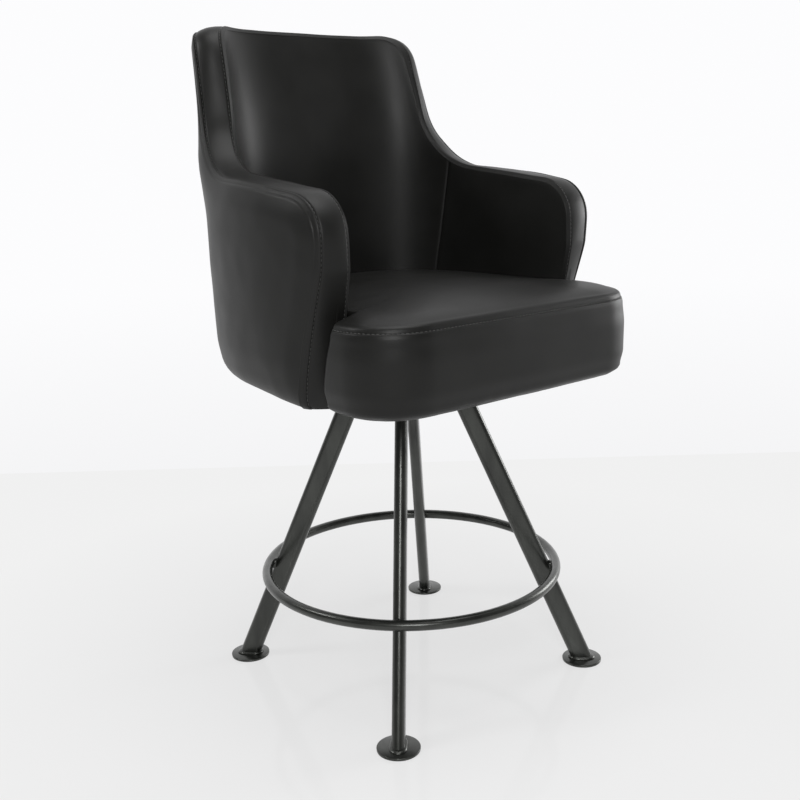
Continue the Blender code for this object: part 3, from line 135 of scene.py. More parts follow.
# Seat cushion
SEAT_HALF_WIDTH = 0.255
SEAT_FRONT_Y = -0.264
SEAT_FRONT_CORNER_RADIUS = 0.083
SEAT_FRONT_BOW = 0.0035
SEAT_WING_CORNER_RADIUS = 0.010
SEAT_STEP_RADIUS = 0.008
SEAT_LEAST_RADIUS = 0.003
SEAT_FIT = 0.0016
SEAT_WING_REAR_Y = -0.1548
SEAT_WING_REACH = 0.017
SEAT_BOTTOM = 0.4900
SEAT_SEAM_HEIGHT = 0.6100
SEAT_REAR_SEAM_HEIGHT = 0.6210
SEAT_TOP_HEIGHT = 0.6390
SEAT_BULGE = 0.0055
SEAT_LOWER_INSET = 0.019
SEAT_LIP = 0.016
SEAT_LIP_TOP = 0.4907
SEAT_POLE_Y = -0.040
DUST_WINDOW_MARGIN = 0.006
DUST_THICKNESS = 0.0006
DUST_SAG = 0.0035
DUST_STEPS = 26
DUST_FIXING_MARGIN = 0.004
DUST_FIXING_REACH = 0.050
CROWN_WIDTH_SHARE = 0.60
CROWN_FRONT_SHARE = 0.106
CROWN_WAIST_SHARE = -0.053
CROWN_REAR_SHARE = -0.200

# Sewing
SEAM_VALLEY = 0.0034
SEAM_VALLEY_WIDTH = 0.0021
RIDGE_RISE = 0.0016
RIDGE_START = 0.0018
RIDGE_WIDTH = 0.0068
STITCH_DIP = 0.0015
STITCH_DIP_WIDTH = 0.0010
OUTER_STITCH_INSET = 0.0080
INNER_STITCH_INSET = 0.0062
SEAT_STITCH_INSET = 0.0034
STITCH_PITCH = 0.0062
STITCH_LENGTH = 0.0042
THREAD_RADIUS = 0.0006
THREAD_LIFT_SHARE = 0.2

# Unevenness of each surface: height, size and seed
RIPPLES = {
    "band": (0.0005, 0.035, 3.0),
    "cover": (0.0011, 0.110, 5.0),
    "cover_fine": (0.0004, 0.030, 9.0),
    "panel": (0.0007, 0.100, 2.0),
    "crown": (0.0010, 0.120, 4.0),
    "face": (0.0008, 0.070, 6.0),
    "pucker": (0.0016, 0.016, 8.0),
    "dust_cloth": (0.5, 0.050, 11.0),
}
RIPPLE_EASE = 0.030
RIPPLE_SEED_SHARE = 0.37
COVER_RIPPLE_EASE = 0.020

# Steps of the mesh and gaps between pieces
COLUMN_STEP = 0.0055
EDGE_SEARCH_STEP = 0.0010
EDGE_SMOOTHINGS = 4
ARM_FRONT_STEPS = 16
SHOULDER_STEPS = 18
BACK_CORNER_STEPS = 14
SAME_STATION = 0.00005
BACK_TUCK = 0.0010
NORMAL_PROBE = 0.0040
WELD = 0.000005
TOUCH_GAP = 0.0003

# Base
LEG_FOOT_RADIUS = 0.280
LEG_TOP_RADIUS = 0.078
LEG_FOOT = 0.0043
LEG_TOP = 0.4721
LEG_BROAD = 0.0325
LEG_NARROW = 0.0190
LEG_SLOPE = (LEG_FOOT_RADIUS - LEG_TOP_RADIUS) / (LEG_TOP - LEG_FOOT)
LEG_TILT = math.atan(LEG_SLOPE)
DISC_RADIUS = 0.03175
DISC_THICKNESS = 0.0040
DISC_EDGE = 0.0008
RING_HEIGHT = 0.169
RING_BAR_RADIUS = 0.0080
FOOT_WELD_PROFILE = (
    (0.0004, 0.0), (0.0038, 0.0), (0.0040, 0.0006), (0.0034, 0.0018), (0.0020, 0.0029), (0.0004, 0.0037),
)
WELD_RIPPLE = 0.00022
WELD_RIPPLE_TURN = math.pi * 0.8
RING_WELD_SIZE = (0.0070, 0.0072, 0.0092)
RING_WELD_RIPPLE = 0.0003
RING_WELD_RIPPLE_RATE = 3600
LEG_ROWS = 12
LEG_NOSE_STEPS = 12
WELD_NOSE_STEPS = 20
WELD_EVEN_GROWTH = 0.0010
DISC_EDGE_STEPS = 4
RING_BAR_STEPS = 24
SPIN_STEPS = 96
CORNERS = {"front_right": 225, "front_left": 315, "rear_left": 45, "rear_right": 135}


# Small helpers


def held(value):
    """A value held between 0 and 1."""
    return max(0.0, min(1.0, value))


def smooth_share(value):
    """Zero below 0, one above 1, and an even S-curve between."""
    value = held(value)
    return value * value * (3 - 2 * value)


def spread(first, last, count):
    """Values in even steps from the first to the last."""
    return [first + (last - first) * step / count for step in range(count + 1)]


def both_sides(values):
    """Each value on the sitter's right and then, in reverse, on the left, with the last of them only once."""
    return [(-1, value) for value in values[:-1]] + [(1, value) for value in reversed(values)]


def bump(distance, width):
    """A soft ridge or valley of height one."""
    return math.exp(-((distance / width) ** 2))


def table_value(table, at):
    """A smooth value from a table of (place, value)."""
    for (low, first), (high, last) in zip(table, table[1:]):
        if at <= high:
            return first + (last - first) * smooth_share((at - low) / (high - low))
    return table[-1][1]


def rounded_path(corners):
    """Points along straight runs with corners (x, y), or (x, y, radius, arc steps) where they are round."""
    points = [Vector(corners[0][:2])]
    for before, corner, after in zip(corners, corners[1:], corners[2:]):
        here = Vector(corner[:2])
        if len(corner) == 2:
            points.append(here)
            continue
        radius, steps = corner[2:]
        back = (Vector(before[:2]) - here).normalized()
        ahead = (Vector(after[:2]) - here).normalized()
        half_angle = math.acos(max(-1.0, min(1.0, back.dot(ahead)))) / 2
        centre = here + (back + ahead).normalized() * (radius / math.sin(half_angle))
        start = here + back * (radius / math.tan(half_angle)) - centre
        end = here + ahead * (radius / math.tan(half_angle)) - centre
        sweep = -start.angle_signed(end)
        points.extend(centre + Matrix.Rotation(sweep * step / steps, 2) @ start for step in range(steps + 1))
    points.append(Vector(corners[-1][:2]))
    return points


def run_lengths(points):
    """How far along a path each of its points lies."""
    lengths = [0.0]
    for before, after in zip(points, points[1:]):
        lengths.append(lengths[-1] + (after - before).length)
    return lengths


def place_on(lengths, at):
    """Which run of a path a length falls in, by the number of the run's end, and its share along the run."""
    index = min(max(bisect.bisect_right(lengths, at), 1), len(lengths) - 1)
    return index, (at - lengths[index - 1]) / max(lengths[index] - lengths[index - 1], WELD)


def evenly(points, step):
    """The same path with its points a step apart."""
    lengths = run_lengths(points)
    count = max(2, round(lengths[-1] / step))
    result = []
    for index in range(count + 1):
        place, share = place_on(lengths, lengths[-1] * index / count)
        result.append(points[place - 1].lerp(points[place], held(share)))
    return result


def side_normals(points, last_run=None):
    """Unit normals on the left of a path, which is the outside of the tub's edge."""
    result = []
    for index in range(len(points)):
        run = points[min(index + 1, len(points) - 1)] - points[max(index - 1, 0)]
        if last_run and index == len(points) - 1:
            run = last_run
        result.append(Vector((-run.y, run.x)).normalized())
    return result


# The wall's own coordinates


def plan_table(half_width, back_y, squareness):
    """Stations, points and outward normals along one half of the inside face, from the arm's front."""
    points = [Vector((half_width, TUB_FRONT_Y))]
    for step in range(TUB_PLAN_STEPS + 1):
        turn = math.pi / 2 * step / TUB_PLAN_STEPS
        across = max(0.0, math.cos(turn)) ** (2 / squareness)
        along = math.sin(turn) ** (2 / squareness)
        points.append(Vector((half_width * across, TUB_BEND_Y + (back_y - TUB_BEND_Y) * along)))
    points[-1].x = 0.0
    return run_lengths(points), points, [-normal for normal in side_normals(points, Vector((-1.0, 0.0)))]


PLAN = plan_table(TUB_HALF_WIDTH, TUB_BACK_Y, TUB_SQUARENESS)
LOW_PLAN = plan_table(LOW_HALF_WIDTH, LOW_BACK_Y, LOW_SQUARENESS)
TUB_LENGTH = PLAN[0][-1]


def plan_point(plan, station, depth):
    """A point in plan: how far round from the arm's front and how deep in the wall."""
    stations, points, normals = plan
    index, share = place_on(stations, max(0.0, min(TUB_LENGTH, station)) * stations[-1] / TUB_LENGTH)
    inside = points[index - 1].lerp(points[index], share)
    return inside + normals[index - 1].lerp(normals[index], share).normalized() * depth


def tub_point(side, station, depth, height):
    """A point in the tub's wall on one side: how far round from the arm's front, how deep and how high."""
    ahead = min(0.0, station)
    spot = plan_point(PLAN, station, depth)
    station = max(0.0, min(TUB_LENGTH, station))
    drop = max(0.0, ARM_RAKE_TOP - height) / (ARM_RAKE_TOP - TUB_BOTTOM)
    rake = ARM_RAKE * drop * max(0.0, 1 - station / ARM_RAKE_REACH)
    lean = BACK_LEAN * (max(0.0, height - BACK_LEAN_START) / (BACK_TOP_HEIGHT - BACK_LEAN_START)) ** 2
    return Vector((side * spot.x, spot.y + rake + lean + ahead, height))


def along_wall(station, sizes):
    """A size that changes smoothly from the arm's front to its middle and on to the back."""
    at_front, at_middle, at_back = sizes
    size = at_front + (at_middle - at_front) * smooth_share(station / ARM_MIDDLE_STATION)
    reach = BACK_WALL_STATION - ARM_MIDDLE_STATION
    return size + (at_back - at_middle) * smooth_share((station - ARM_MIDDLE_STATION) / reach)


def back_middle_share(station):
    """How near a station is to the middle of the back, whose wall is thinner than at its sides."""
    return smooth_share((station - BACK_THINS_FROM_STATION) / (TUB_LENGTH - BACK_THINS_FROM_STATION))


def edge_drop(station, height):
    """How much further in the outer seam lies than the inner: most low on the arm's front, which slants."""
    low = smooth_share((ARM_SLANT_TOP - height) / (ARM_SLANT_TOP - TUB_BOTTOM))
    low *= smooth_share(1 - station / ARM_SLANT_REACH)
    wing = smooth_share((height - WING_TURN_START) / WING_TURN_REACH)
    wing *= 1 - smooth_share((station - BACK_CORNER_STATION) / WING_TURN_END)
    return along_wall(station, EDGE_DROPS) + ARM_SLANT * low - WING_TURN * wing


def tub_edge():
    """The inner seam's line as stations and heights, from the arm's foot up and over to the back's middle."""
    path = rounded_path([
        (0.0, TUB_BOTTOM),
        (0.0, ARM_FRONT_HEIGHT, ARM_FRONT_RADIUS, ARM_FRONT_STEPS),
        (SHOULDER_STATION, SHOULDER_HEIGHT, SHOULDER_RADIUS, SHOULDER_STEPS),
        (BACK_CORNER_STATION, BACK_CORNER_HEIGHT, BACK_CORNER_RADIUS, BACK_CORNER_STEPS),
        (TUB_LENGTH, BACK_TOP_HEIGHT),
    ])
    path = evenly(path, COLUMN_STEP)
    for _ in range(EDGE_SMOOTHINGS):
        inner = [(before + here * 2 + after) / 4 for before, here, after in zip(path, path[1:], path[2:])]
        path = [path[0]] + inner + [path[-1]]
    return path


EDGE = tub_edge()
EDGE_NORMALS = side_normals(EDGE, Vector((1.0, 0.0)))
OUTER_EDGE = [point - normal * edge_drop(point.x, point.y) for point, normal in zip(EDGE, EDGE_NORMALS)]
OUTER_EDGE[-1].x = TUB_LENGTH


def finder(path):
    """Finds how far a place on the wall is from a seam."""
    dense = evenly(path, EDGE_SEARCH_STEP)
    tree = KDTree(len(dense))
    for index, point in enumerate(dense):
        tree.insert((point.x, point.y, 0.0), index)
    tree.balance()
    return tree


NEAR_INNER_SEAM = finder(EDGE)
NEAR_OUTER_SEAM = finder(OUTER_EDGE)


def height_on(path, station):
    """Height of a seam's line above a station, past the arm's upright front."""
    front = min(point.x for point in path) + SAME_STATION
    start = max(index for index, point in enumerate(path) if point.x <= front)
    place, share = place_on([point.x for point in path[start:]], station)
    low, high = path[start + place - 1].y, path[start + place].y
    return low + (high - low) * held(share)


def outer_width(station, height, top):
    """Depth of the outer seam or the cover's border: drawn in lower down and round the lower edge."""
    below_top = max(0.0, top - height)
    depth = along_wall(station, WALL_SIZES) - COVER_DRAW_SLOPE * below_top
    corner = bump(station - BACK_CORNER_STATION, CORNER_WALL_WIDTH)
    depth += CORNER_WALL * corner * smooth_share((height - CORNER_WALL_LOW) / CORNER_WALL_RISE)
    depth -= BACK_THINNING * back_middle_share(station) * (1 - smooth_share(below_top / BACK_THINNING_REACH))
    if height < TUB_BOTTOM + COVER_BOTTOM_RADIUS:
        turn = math.acos(max(-1.0, min(1.0, 1 - (height - TUB_BOTTOM) / COVER_BOTTOM_RADIUS)))
        back_share = smooth_share(station / COVER_DRAW_REACH)
        drawn = COVER_DRAW_AT_ARM_FRONT + (1 - COVER_DRAW_AT_ARM_FRONT) * back_share
        depth -= COVER_BOTTOM_RADIUS * (1 - math.sin(turn)) * drawn
    return depth


def ripple(kind, point):
    """A gentle unevenness of hand-pulled vinyl."""
    height, size, seed = RIPPLES[kind]
    return height * noise.noise(point / size + Vector((seed, RIPPLE_SEED_SHARE * seed, -seed)))


# Making pieces


def finish_form(form, name, fill_ends=True):
    """An object from a closed form with its normals outward."""
    bmesh.ops.remove_doubles(form, verts=form.verts, dist=WELD)
    bmesh.ops.dissolve_degenerate(form, edges=form.edges, dist=WELD)
    if fill_ends:
        bmesh.ops.holes_fill(form, edges=[edge for edge in form.edges if edge.is_boundary], sides=0)
    bmesh.ops.recalc_face_normals(form, faces=form.faces)
    mesh = bpy.data.meshes.new(name)
    form.to_mesh(mesh)
    form.free()
    mesh.shade_smooth()
    mesh.set_sharp_from_angle(angle=math.radians(55))
    piece = bpy.data.objects.new(name, mesh)
    bpy.context.scene.collection.objects.link(piece)
    return piece


def bent_grid(name, columns):
    """A padded form from its sections: a grid's columns, with a row for each point of a section."""
    form = bmesh.new()
    across, around = len(columns) - 1, len(columns[0])
    bmesh.ops.create_grid(form, x_segments=across, y_segments=around, size=1.0)
    for vert in form.verts:
        column = round((vert.co.x + 1) / 2 * across)
        row = round((vert.co.y + 1) / 2 * around)
        vert.co = columns[column][row % around]
    return finish_form(form, name)


def dressed(piece, body, slot_name, *replaced, material=None):
    """A finished piece on its body, in its slot's finish or another, for the nodes that it replaces."""
    piece.data.materials.clear()
    piece.data.materials.append(material or SLOT_MATERIALS[slot_name])
    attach(piece, body)
    if replaced:
        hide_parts(*replaced)
    return piece


# Materials


def new_material(name, **values):
    """A material and its shader, with plain values set on the shader's sockets."""
    material = bpy.data.materials.new(name)
    material.use_nodes = True
    shader = material.node_tree.nodes["Principled BSDF"]
    for socket, value in values.items():
        shader.inputs[socket.replace("_", " ")].default_value = value
    return material, shader


def add_node(material, kind, **settings):
    """A node with its settings: inputs by socket name, the rest as attributes."""
    node = material.node_tree.nodes.new(kind)
    for name, value in settings.items():
        if hasattr(node, name):
            setattr(node, name, value)
        else:
            node.inputs[name.replace("_", " ")].default_value = value
    return node


def join(material, source, output, target, socket):
    """A link between two nodes."""
    material.node_tree.links.new(source.outputs[output], target.inputs[socket])


def graded(material, source, target, socket, dark, light, output="Fac", low=0.3, high=0.7):
    """Joins a source to a socket as a colour or value that goes from dark to light between low and high."""
    node = add_node(material, "ShaderNodeMapRange")
    kind, entrance, result = "VALUE", "Value", "Result"
    if isinstance(dark, tuple):
        node.data_type = "FLOAT_VECTOR"
        kind, entrance, result = "VECTOR", "Vector", "Vector"
        low, high = (low,) * 3, (high,) * 3
    for name, value in (("From Min", low), ("From Max", high), ("To Min", dark), ("To Max", light)):
        entries = [entry for entry in node.inputs if entry.name == name and entry.type == kind]
        entries[0].default_value = value
    join(material, source, output, node, entrance)
    join(material, node, result, target, socket)


def embossed(material, source, output, shader, strength, distance, under=None):
    """Relief from a pattern's height, over another relief where there is one."""
    relief = add_node(material, "ShaderNodeBump", Strength=strength, Distance=distance)
    join(material, source, output, relief, "Height")
    if under:
        join(material, under, "Normal", relief, "Normal")
    join(material, relief, "Normal", shader, "Normal")
    return relief


def surface_noise(material, scale, detail=3.0, stretch=(1.0, 1.0, 1.0)):
    """Noise over the object's own coordinates."""
    place = add_node(material, "ShaderNodeTexCoord")
    turn = add_node(material, "ShaderNodeMapping")
    turn.inputs["Scale"].default_value = stretch
    join(material, place, "Object", turn, "Vector")
    grain = add_node(material, "ShaderNodeTexNoise", Scale=scale, Detail=detail)
    join(material, turn, "Vector", grain, "Vector")
    return grain, turn


def make_vinyl(name, shade, roughness):
    """Satin vinyl with a fine embossed grain and faint soft patches."""
    material, shader = new_material(name, Specular_IOR_Level=0.26)
    patches, turn = surface_noise(material, 14.0)
    pebbles = add_node(material, "ShaderNodeTexVoronoi", Scale=820.0)
    join(material, turn, "Vector", pebbles, "Vector")
    fine, _ = surface_noise(material, 2600.0, 2.0)
    dark, light = (tuple(share * channel for channel in shade) for share in (0.86, 1.12))
    graded(material, patches, shader, "Base Color", dark, light)
    graded(material, patches, shader, "Roughness", roughness - 0.03, roughness + 0.04)
    grain = embossed(material, pebbles, "Distance", shader, 0.22, 0.00022)
    embossed(material, fine, "Fac", shader, 0.18, 0.00008, grain)
    return material


def make_painted_steel():
    """Dark gunmetal paint with a clear coat, faintly uneven."""
    finish = {"Metallic": 0.82, "Coat_Weight": 0.55, "Coat_Roughness": 0.22}
    material, shader = new_material("clear_coated_gunmetal", **finish)
    patches, turn = surface_noise(material, 60.0)
    streaks, _ = surface_noise(material, 34.0, 4.0, (1.0, 1.0, 0.18))
    graded(material, streaks, shader, "Base Color", (0.028, 0.0295, 0.0265), (0.056, 0.059, 0.053))
    graded(material, patches, shader, "Roughness", 0.30, 0.42)
    peel = add_node(material, "ShaderNodeTexNoise", Scale=420.0, Detail=2.0)
    join(material, turn, "Vector", peel, "Vector")
    embossed(material, peel, "Fac", shader, 0.10, 0.0003)
    return material


def make_zinc():
    """Bright zinc plate with a brushed, cloudy finish."""
    material, shader = new_material("zinc_plate", Metallic=1.0)
    clouds, _ = surface_noise(material, 90.0)
    graded(material, clouds, shader, "Base Color", (0.46, 0.47, 0.49), (0.63, 0.64, 0.65))
    graded(material, clouds, shader, "Roughness", 0.26, 0.44)
    return material


def make_plywood():
    """Bare plywood with drawn-out grain and glued layers."""
    material, shader = new_material("bare_plywood", Roughness=0.66)
    grain, turn = surface_noise(material, 38.0, 5.0, (1.0, 0.12, 1.0))
    layers = add_node(material, "ShaderNodeTexWave", bands_direction="Z", Scale=110.0, Distortion=0.8)
    join(material, turn, "Vector", layers, "Vector")
    mixed = add_node(material, "ShaderNodeMix", data_type="RGBA", blend_type="MULTIPLY")
    mixed.inputs["Factor"].default_value = 0.25
    first_colour, second_colour, mixed_colour = 6, 7, 2
    graded(material, grain, mixed, first_colour, (0.40, 0.26, 0.13), (0.62, 0.45, 0.27))
    join(material, layers, "Color", mixed, second_colour)
    join(material, mixed, mixed_colour, shader, "Base Color")
    embossed(material, grain, "Fac", shader, 0.25, 0.0003)
    return material


def make_cloth(name, dark, light, scale, roughness):
    """Matt non-woven cloth or open-cell foam."""
    material, shader = new_material(name, Roughness=roughness, Sheen_Weight=0.15)
    fibres, turn = surface_noise(material, scale, 4.0)
    cells = add_node(material, "ShaderNodeTexVoronoi", Scale=scale * 1.7)
    join(material, turn, "Vector", cells, "Vector")
    graded(material, fibres, shader, "Base Color", dark, light)
    embossed(material, cells, "Distance", shader, 0.4, 0.0004)
    return material


THREAD = make_cloth("black_bonded_thread", (0.038, 0.038, 0.036), (0.060, 0.060, 0.057), 1800.0, 0.40)
SLOT_MATERIALS = {
    "painted_steel": make_painted_steel(),
    "zinc_steel": make_zinc(),
    "vinyl": make_vinyl("black_satin_vinyl", (0.0088, 0.0088, 0.0081), 0.43),
    "plywood": make_plywood(),
    "foam": make_cloth("open_cell_foam", (0.70, 0.62, 0.42), (0.84, 0.78, 0.60), 500.0, 0.95),
    "dust_cloth": make_cloth("black_dust_cloth", (0.022,) * 3, (0.042,) * 3, 700.0, 0.92),
}
for subpart in frame["record"]["subparts"]:
    node = nodes[subpart["node"]]
    node.data.materials.clear()
    node.data.materials.append(SLOT_MATERIALS[subpart["material_slot"]])


# Edge band

BAND_INSETS = (
    0.0, 0.0006, 0.0013, 0.0022, 0.0036, 0.0052, 0.0060,
    0.0067, 0.0074, 0.0080, 0.0086, 0.0094, 0.0110, 0.0140,
)
BAND_MIDDLE_STEPS = 8
BAND_CROWN_POWER = 0.8
CORNER_CROWN_WIDTH = 0.030
CORNER_CROWN_START = 0.880
CORNER_CROWN_REACH = 0.120
INNER_RIDGE_SHARE = 0.6
INNER_RIDGE_WIDTH = 0.005
RIDGE_EASE = 0.001


def band_shares(width):
    """Shares across the band from the inner seam to the outer, close together at the sewing."""
    inner = [inset / width for inset in BAND_INSETS]
    outer = [1 - share for share in reversed(inner)]
    return inner + spread(inner[-1], outer[0], BAND_MIDDLE_STEPS)[1:-1] + outer


def seam_ridge(distance, end):
    """The ridge of folded vinyl beside a seam, level between its eased sides."""
    return smooth_share((distance - RIDGE_START) / RIDGE_EASE) * smooth_share((end - distance) / RIDGE_EASE)


def band_rise(index, share, width):
    """How far the band stands above its seams' lines at a share of the way across."""
    point = EDGE[index]
    inside, outside = share * width, (1 - share) * width
    corner = bump(point.x - BACK_CORNER_STATION, CORNER_CROWN_WIDTH)
    corner *= smooth_share((point.y - CORNER_CROWN_START) / CORNER_CROWN_REACH)
    crown = (BAND_CROWN + CORNER_CROWN * corner) * (1 - (2 * share - 1) ** 2) ** BAND_CROWN_POWER
    sewing = -SEAM_VALLEY * bump(inside, SEAM_VALLEY_WIDTH) - SEAM_VALLEY * bump(outside, SEAM_VALLEY_WIDTH)
    sewing -= STITCH_DIP * bump(inside - INNER_STITCH_INSET, STITCH_DIP_WIDTH)
    sewing -= STITCH_DIP * bump(outside - OUTER_STITCH_INSET, STITCH_DIP_WIDTH)
    ridge = RIDGE_RISE * seam_ridge(outside, RIDGE_WIDTH)
    ridge += INNER_RIDGE_SHARE * RIDGE_RISE * seam_ridge(inside, INNER_RIDGE_WIDTH)
    uneven = ripple("band", Vector((point.x, share * width, point.y)))
    return crown + sewing + ridge + uneven - edge_drop(point.x, point.y) * share


def band_point(side, index, share, sink=0.0):
    """A point on the band's surface, or below it by a sink."""
    point, normal = EDGE[index], EDGE_NORMALS[index]
    width = outer_width(point.x, point.y, point.y)
    spot = point + normal * (band_rise(index, share, width) - sink)
    return sagged(tub_point(side, spot.x, share * width, spot.y), spot.x)


def make_edge_band():
    """Strip between the two seams, up the arms' fronts, along their tops and over the back."""
    columns = []
    for side, index in both_sides(range(len(EDGE))):
        point, normal = EDGE[index], EDGE_NORMALS[index]
        width = outer_width(point.x, point.y, point.y)
        column = [band_point(side, index, share) for share in band_shares(width)]
        for share in spread(1.0, 0.0, 4):
            under = point - normal * (BAND_THICKNESS + edge_drop(point.x, point.y) * share)
            column.append(sagged(tub_point(side, under.x, share * width, under.y), under.x))
        columns.append(column)
    return bent_grid("edge_band_sewn", columns)


# Outer cover

COVER_START = min(point.x for point in OUTER_EDGE)
COVER_FRONT_STEPS = (
    0.0, 0.0007, 0.0016, 0.0028, 0.0044, 0.0064, 0.009, 0.012,
    0.0155, 0.0195, 0.024, 0.029, 0.0345, 0.040, 0.046, 0.052,
)
COVER_TOP_STEPS = (
    0.046, 0.038, 0.031, 0.025, 0.020, 0.0155, 0.0115, 0.0085, 0.0062, 0.0044, 0.0028, 0.0016, 0.0007, 0.0,
)
COVER_TURN_STEPS = 7
COVER_FACE_STEPS = 46
COVER_FULL_FROM = 2.2 * COVER_BOTTOM_RADIUS


def cover_depth(side, station, height, top):
    """Depth of the outer cover's face: full between its seams, tucked in at them."""
    distance = NEAR_OUTER_SEAM.find((station, height, 0.0))[2]
    near = min(distance, max(0.0, top - height)) / COVER_FULLNESS_REACH
    low = (height - TUB_BOTTOM) / COVER_FULL_FROM
    full = COVER_FULLNESS * math.sin(min(1.0, near) * math.pi / 2) * smooth_share(low)
    full *= 1 - (1 - COVER_FULLNESS_AT_BACK_SHARE) * back_middle_share(station)
    tuck = SEAM_VALLEY * bump(distance, SEAM_VALLEY_WIDTH)
    spot = Vector((side * station, 0.0, height))
    uneven = (ripple("cover", spot) + ripple("cover_fine", spot)) * smooth_share(distance / COVER_RIPPLE_EASE)
    return outer_width(station, height, top) + full - tuck + uneven


def seam_shift(station, height):
    """The station of a cover's column at a height, moved back low down where the arm's front slants."""
    slant = edge_drop(0.0, height) - edge_drop(0.0, ARM_FRONT_HEIGHT)
    return station + slant * max(0.0, 1 - (station - COVER_START) / COVER_SLANT_REACH)


def sagged(point, station):
    """A point of the tub's lower edge, a little lower towards the arm's front."""
    low = smooth_share((ARM_FRONT_SAG_TOP - point.z) / (ARM_FRONT_SAG_TOP - TUB_BOTTOM))
    point.z -= ARM_FRONT_SAG * low * smooth_share(1 - station / ARM_FRONT_SAG_REACH)
    return point


def make_outer_cover():
    """Padded cover round the outside of arms and back, turned under the frame at its lower edge."""
    stations = [COVER_START + step for step in COVER_FRONT_STEPS]
    count = round((TUB_LENGTH - stations[-1]) / COLUMN_STEP)
    stations += spread(stations[-1], TUB_LENGTH, count)[1:]
    turns = spread(0.0, math.pi / 2, COVER_TURN_STEPS)
    rounds = [TUB_BOTTOM + COVER_BOTTOM_RADIUS * (1 - math.cos(turn)) for turn in turns]
    columns = []
    for side, station in both_sides(stations):
        top = height_on(OUTER_EDGE, station)
        heights = rounds + spread(rounds[-1], top - COVER_TOP_STEPS[0], COVER_FACE_STEPS)[1:]
        heights += [top - step for step in COVER_TOP_STEPS[1:]]
        under_frame = FRAME_BOTTOM - TOUCH_GAP
        # The face's own depth comes from its fullness, the rest of the section from the frame
        sections = [(None, height) for height in heights]
        back_heights = (top - BACK_TUCK, (top + FRAME_BOTTOM) / 2, under_frame)
        sections += [(COVER_DEPTH, height) for height in back_heights]
        sections += [(FRAME_DEPTH, height) for height in (under_frame, TUB_BOTTOM)]
        column = []
        for depth, height in sections:
            place = seam_shift(station, height)
            if depth is None:
                depth = cover_depth(side, place, height, top)
            column.append(sagged(tub_point(side, place, depth, height), place))
        columns.append(column)
    return bent_grid("outer_cover_padded", columns)


# Plywood shell inside the wrap


FRAME_FRONT_END = 0.100
FRAME_BACK_START = 0.400
FRAME_BACK_REACH = 0.050
FRAME_FOOT_TOP = 0.620
FRAME_FOOT_REACH = 0.060
FRAME_ROWS = 40


def make_tub_frame():
    """Moulded plywood shell that carries the padding, with its edge a band's thickness inside the tub's."""
    middle = (FRAME_DEPTH + FRAME_THICKNESS / 2) / along_wall(0.0, WALL_SIZES)
    edge = []
    for point, normal in zip(EDGE, EDGE_NORMALS):
        share = middle if point.x < FRAME_FRONT_END else FRAME_DEPTH / along_wall(point.x, WALL_SIZES)
        edge.append(point - normal * (BAND_THICKNESS + FRAME_FIT + edge_drop(point.x, point.y) * share))
    edge[-1].x = TUB_LENGTH
    front = min(point.x for point in edge)
    columns = []
    for side, station in both_sides(spread(front, TUB_LENGTH, round((TUB_LENGTH - front) / COLUMN_STEP))):
        heights = spread(FRAME_BOTTOM, height_on(edge, station), FRAME_ROWS)
        slant = middle * max(0.0, 1 - station / COVER_SLANT_REACH)
        at_back = smooth_share((station - FRAME_BACK_START) / FRAME_BACK_REACH)
        outer_face = (FRAME_DEPTH + FRAME_THICKNESS, heights, FRAME_OUTER_FIT)
        inner_face = (FRAME_DEPTH, reversed(heights), FRAME_BACK_FIT)
        column = []
        for depth, run, fit in (outer_face, inner_face):
            for height in run:
                place = station + slant * (seam_shift(COVER_START, height) - COVER_START)
                out = fit * at_back * smooth_share((FRAME_FOOT_TOP - height) / FRAME_FOOT_REACH)
                column.append(tub_point(side, place, depth + out, height))
        columns.append(column)
    return bent_grid("tub_frame_moulded", columns)


# Inside panels

PAD_BORDER_STEPS = (0.0, 0.0007, 0.0016, 0.0028, 0.0044, 0.0064, 0.009, 0.0125, 0.017)
PAD_ROWS = 44
PAD_SEAM_INSET = 0.0010
PAD_SEAM_DIP = 0.0008
PAD_FRONT_MARGIN = 0.0004
PAD_ROLL_WIDTH = 0.012
PAD_ROLL_DEPTH = 0.0018
PAD_CROWN_START = 0.640
PAD_CROWN_RISE = 0.160
PAD_CROWN_FALL = 0.120
BACK_PAD_CROWN = 0.0060
ARM_PAD_CROWN = 0.0035
ARM_PAD_CROWN_REACH = 0.070


def panel_face(side, head, foot, top, height, border, crown):
    """A point of an inside panel's face on a slanted column."""
    station = head + (foot - head) * (top - height) / (top - PAD_BOTTOM)
    distance = min(border, NEAR_INNER_SEAM.find((station, height, 0.0))[2])
    roll = max(0.0, 1 - distance / PAD_ROLL_WIDTH)
    depth = PAD_ROLL_DEPTH * (1 - math.sqrt(1 - roll * roll))
    depth += PAD_SEAM_DIP * bump(distance, SEAM_VALLEY_WIDTH)
    spot = Vector((side * station, 1.0, height))
    uneven = ripple("panel", spot) * smooth_share(distance / RIPPLE_EASE)
    return tub_point(side, station, depth - crown + uneven, height)


def panel_column(side, head, foot, border, crown_share):
    """One section of an inside panel: up its face and down its back."""
    top = height_on(EDGE, max(head, PAD_FRONT_MARGIN)) - PAD_SEAM_INSET
    heights = spread(PAD_BOTTOM, top - PAD_BORDER_STEPS[-1], PAD_ROWS)
    heights += [top - step for step in reversed(PAD_BORDER_STEPS[:-1])]
    column = []
    for height in heights:
        lift = smooth_share((height - PAD_CROWN_START) / PAD_CROWN_RISE)
        lift *= smooth_share((top - height) / PAD_CROWN_FALL)
        column.append(panel_face(side, head, foot, top, height, border, crown_share * lift))
    for height in (top - BACK_TUCK, (top + PAD_BOTTOM) / 2, PAD_BOTTOM):
        station = head + (foot - head) * (top - height) / (top - PAD_BOTTOM)
        column.append(tub_point(side, station, PAD_THICKNESS, height))
    return column


